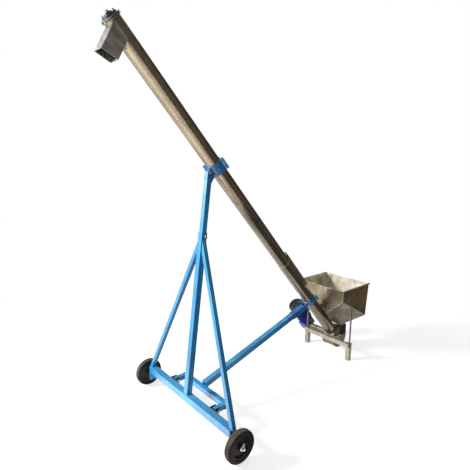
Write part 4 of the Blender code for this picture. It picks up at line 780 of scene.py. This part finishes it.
FLOOR_CARDS = (                      # middle, width and depth, colour, strength
    ("dark_floor_near", (2.2, -4.2, 0.001), (7.0, 7.2), DARK, 1.0),
    ("dark_floor_side", (5.2, 1.4, 0.0015), (6.6, 8.6), DARK, 1.0),
    ("dark_floor_far", (3.0, 6.0, 0.0005), (7.0, 5.0), DARK, 1.0),
    ("bright_floor", (-2.6, 2.6, 0.002), (3.4, 4.6), SKY, 5.0),
)
STRIP_LOW = 2.2                      # the strips show in this stretch of the tube
STRIP_HIGH = 3.95
STRIP_STEPS = 24
STRIPS = (                           # degrees about the tube from its upper side, height, strength
    ("streak_high", (112.0, 117.5), 0.004, 2.8),
    ("glow_inner", (124.0, 140.0), 0.008, 1.9),
    ("glow_middle", (140.0, 160.0), 0.010, 3.0),
    ("glow_outer", (160.0, 176.0), 0.012, 1.8),
)
CAMERA_AT = Vector((-2.4726, -2.5634, 2.1323))


def seen_directly(tree):
    """1 for rays that show the surroundings: camera, mirror and glass rays."""
    path = tree.nodes.new("ShaderNodeLightPath")
    total = path.outputs["Is Camera Ray"]
    for kind in ("Is Glossy Ray", "Is Transmission Ray"):
        made = tree.nodes.new("ShaderNodeMath")
        made.operation = "MAXIMUM"
        tree.links.new(total, made.inputs[0])
        tree.links.new(path.outputs[kind], made.inputs[1])
        total = made.outputs[0]
    return total


def make_floor():
    """A floor that takes the part's shadow near it and shows plain white far from it."""
    bpy.ops.mesh.primitive_plane_add(size=FLOOR_SIZE, location=(0.0, 0.0, cad_low.z - FLOOR_GAP))
    floor = bpy.context.object
    floor.name = "studio_floor"
    g = Graph("studio_floor")
    away = g.vector_math("LENGTH", "Value", g.add("ShaderNodeTexCoord").outputs["Object"])
    far = g.spread(away, FLOOR_NEAR, FLOOR_FAR, shape="SMOOTHSTEP")
    matte = g.add("ShaderNodeBsdfDiffuse", Color=g.blend(far, FLOOR_TONE, BLACK))
    strength = g.math("MULTIPLY", seen_directly(g.tree), g.spread(far, 0.0, 1.0, FLOOR_GLOW, 1.0))
    glow = g.add("ShaderNodeEmission", Color=WHITE, Strength=strength)
    both = g.add("ShaderNodeAddShader")
    g.put(both, 0, matte.outputs[0])
    g.put(both, 1, glow.outputs[0])
    floor.data.materials.append(g.surface(both.outputs[0]))


def make_world():
    """A white surround that lights the part less than it shows."""
    world = bpy.data.worlds.new("studio")
    bpy.context.scene.world = world
    world.use_nodes = True
    tree = world.node_tree
    back = tree.nodes["Background"]
    back.inputs["Color"].default_value = WHITE
    strength = tree.nodes.new("ShaderNodeMapRange")
    tree.links.new(seen_directly(tree), strength.inputs["Value"])
    strength.inputs["To Min"].default_value = WORLD_LEVEL
    strength.inputs["To Max"].default_value = 1.0
    tree.links.new(strength.outputs[0], back.inputs["Strength"])


def softbox(name, at, size, power):
    """A square lamp turned to the middle of the part."""
    lamp = bpy.data.lights.new(name, "AREA")
    lamp.shape = "RECTANGLE"
    lamp.size = size
    lamp.size_y = size
    lamp.energy = power
    made = bpy.data.objects.new(name, lamp)
    made.location = at
    made.rotation_euler = (MIDDLE - at).to_track_quat("-Z", "Y").to_euler()
    bpy.context.scene.collection.objects.link(made)


def stage_card(name, shape, colour, strength):
    """A board or a strip of light that only metal and gloss can see, as in a studio."""
    g = Graph(name)
    made = g.surface(g.add("ShaderNodeEmission", Color=colour + (1.0,), Strength=strength).outputs[0])
    made.cycles.emission_sampling = "NONE"
    mesh = bpy.data.meshes.new(name)
    shape.to_mesh(mesh)
    shape.free()
    mesh.materials.append(made)
    card = bpy.data.objects.new(name, mesh)
    bpy.context.scene.collection.objects.link(card)
    card.visible_camera = False
    card.visible_diffuse = False
    card.visible_shadow = False
    return card


def flat_card(name, at, facing, width, height, colour, strength=1.0):
    shape = bmesh.new()
    half, tall = width / 2, height / 2
    corners = [(-half, -tall, 0.0), (half, -tall, 0.0), (half, tall, 0.0), (-half, tall, 0.0)]
    shape.faces.new([shape.verts.new(corner) for corner in corners])
    card = stage_card(name, shape, colour, strength)
    card.location = at
    card.rotation_euler = facing.to_track_quat("Z", "Y").to_euler()


def make_cards():
    """Dark boards and dark floor on the camera's right, and a bright patch of floor on its left."""
    for index, (degrees, colour) in enumerate(BOARDS):
        side = Vector((cos(radians(degrees)), sin(radians(degrees)), 0.0))
        at = BOARD_AWAY * side + BOARD_HEIGHT / 2 * UP
        flat_card("dark_board_%d" % index, at, -side, BOARD_WIDTH, BOARD_HEIGHT, colour)
    for name, at, (width, depth), colour, strength in FLOOR_CARDS:
        flat_card(name, at, UP, width, depth, colour, strength)


def mirror_spot(along, turn, level):
    """The floor point that the tube mirrors to the camera, at a place along and round it."""
    out = cos(turn) * LIFT - sin(turn) * ASIDE
    spot = DRUM + along * ALONG + TUBE_RADIUS * out
    seen = (CAMERA_AT - spot).normalized()
    ray = 2 * seen.dot(out) * out - seen
    return spot + ray * ((level - spot.z) / ray.z)


def make_strips():
    """Strips of light on the floor, each of which shows as a line along the tube."""
    span = STRIP_HIGH - STRIP_LOW
    places = [STRIP_LOW + span * step / STRIP_STEPS for step in range(STRIP_STEPS + 1)]
    for name, turns, level, strength in STRIPS:
        shape = bmesh.new()
        edges = []
        for degrees in turns:
            edges.append([shape.verts.new(mirror_spot(place, radians(degrees), level)) for place in places])
        near, far = edges
        for step in range(STRIP_STEPS):
            shape.faces.new((near[step], near[step + 1], far[step + 1], far[step]))
        stage_card(name, shape, WARM, strength)


# ---- camera -------------------------------------------------------------------------------
CAMERA_TURN = radians(49.64)         # from +X towards +Y
CAMERA_DIP = radians(10.65)
CAMERA_ROLL = radians(0.61)
CAMERA_LENS = 30.72
CAMERA_SENSOR = 36.0


def make_camera():
    """The main view, from two metres up beyond the spout's side."""
    lens = bpy.data.cameras.new("camera")
    lens.lens = CAMERA_LENS
    lens.sensor_width = CAMERA_SENSOR
    made = bpy.data.objects.new("camera", lens)
    bpy.context.scene.collection.objects.link(made)
    ahead = Vector((cos(CAMERA_DIP) * cos(CAMERA_TURN), cos(CAMERA_DIP) * sin(CAMERA_TURN), -sin(CAMERA_DIP)))
    aim = Matrix.Rotation(-CAMERA_ROLL, 4, ahead) @ ahead.to_track_quat("-Z", "Y").to_matrix().to_4x4()
    made.matrix_world = Matrix.Translation(CAMERA_AT) @ aim
    bpy.context.scene.camera = made


# ---- the scene ----------------------------------------------------------------------------
dress_nodes()
for wheel_side in ("left", "right"):
    make_tyre(wheel_side)
for wheel_side in ("left", "right"):
    make_rim_ribs(wheel_side)
make_frame_welds()
make_tube_welds()
make_motor_highlight_band()
make_fan_grille()
make_box_screws()
make_rim_rivets()
make_fold_seams("hopper_highlight_seams", "hopper_shell", "hopper")
make_floor()
make_world()
softbox("key", MIDDLE + KEY_AWAY * KEY_FROM, KEY_SIZE, KEY_POWER)
softbox("top", TOP_AT, TOP_SIZE, TOP_POWER)
make_cards()
make_strips()
make_camera()
bpy.context.scene.view_settings.view_transform = "Standard"
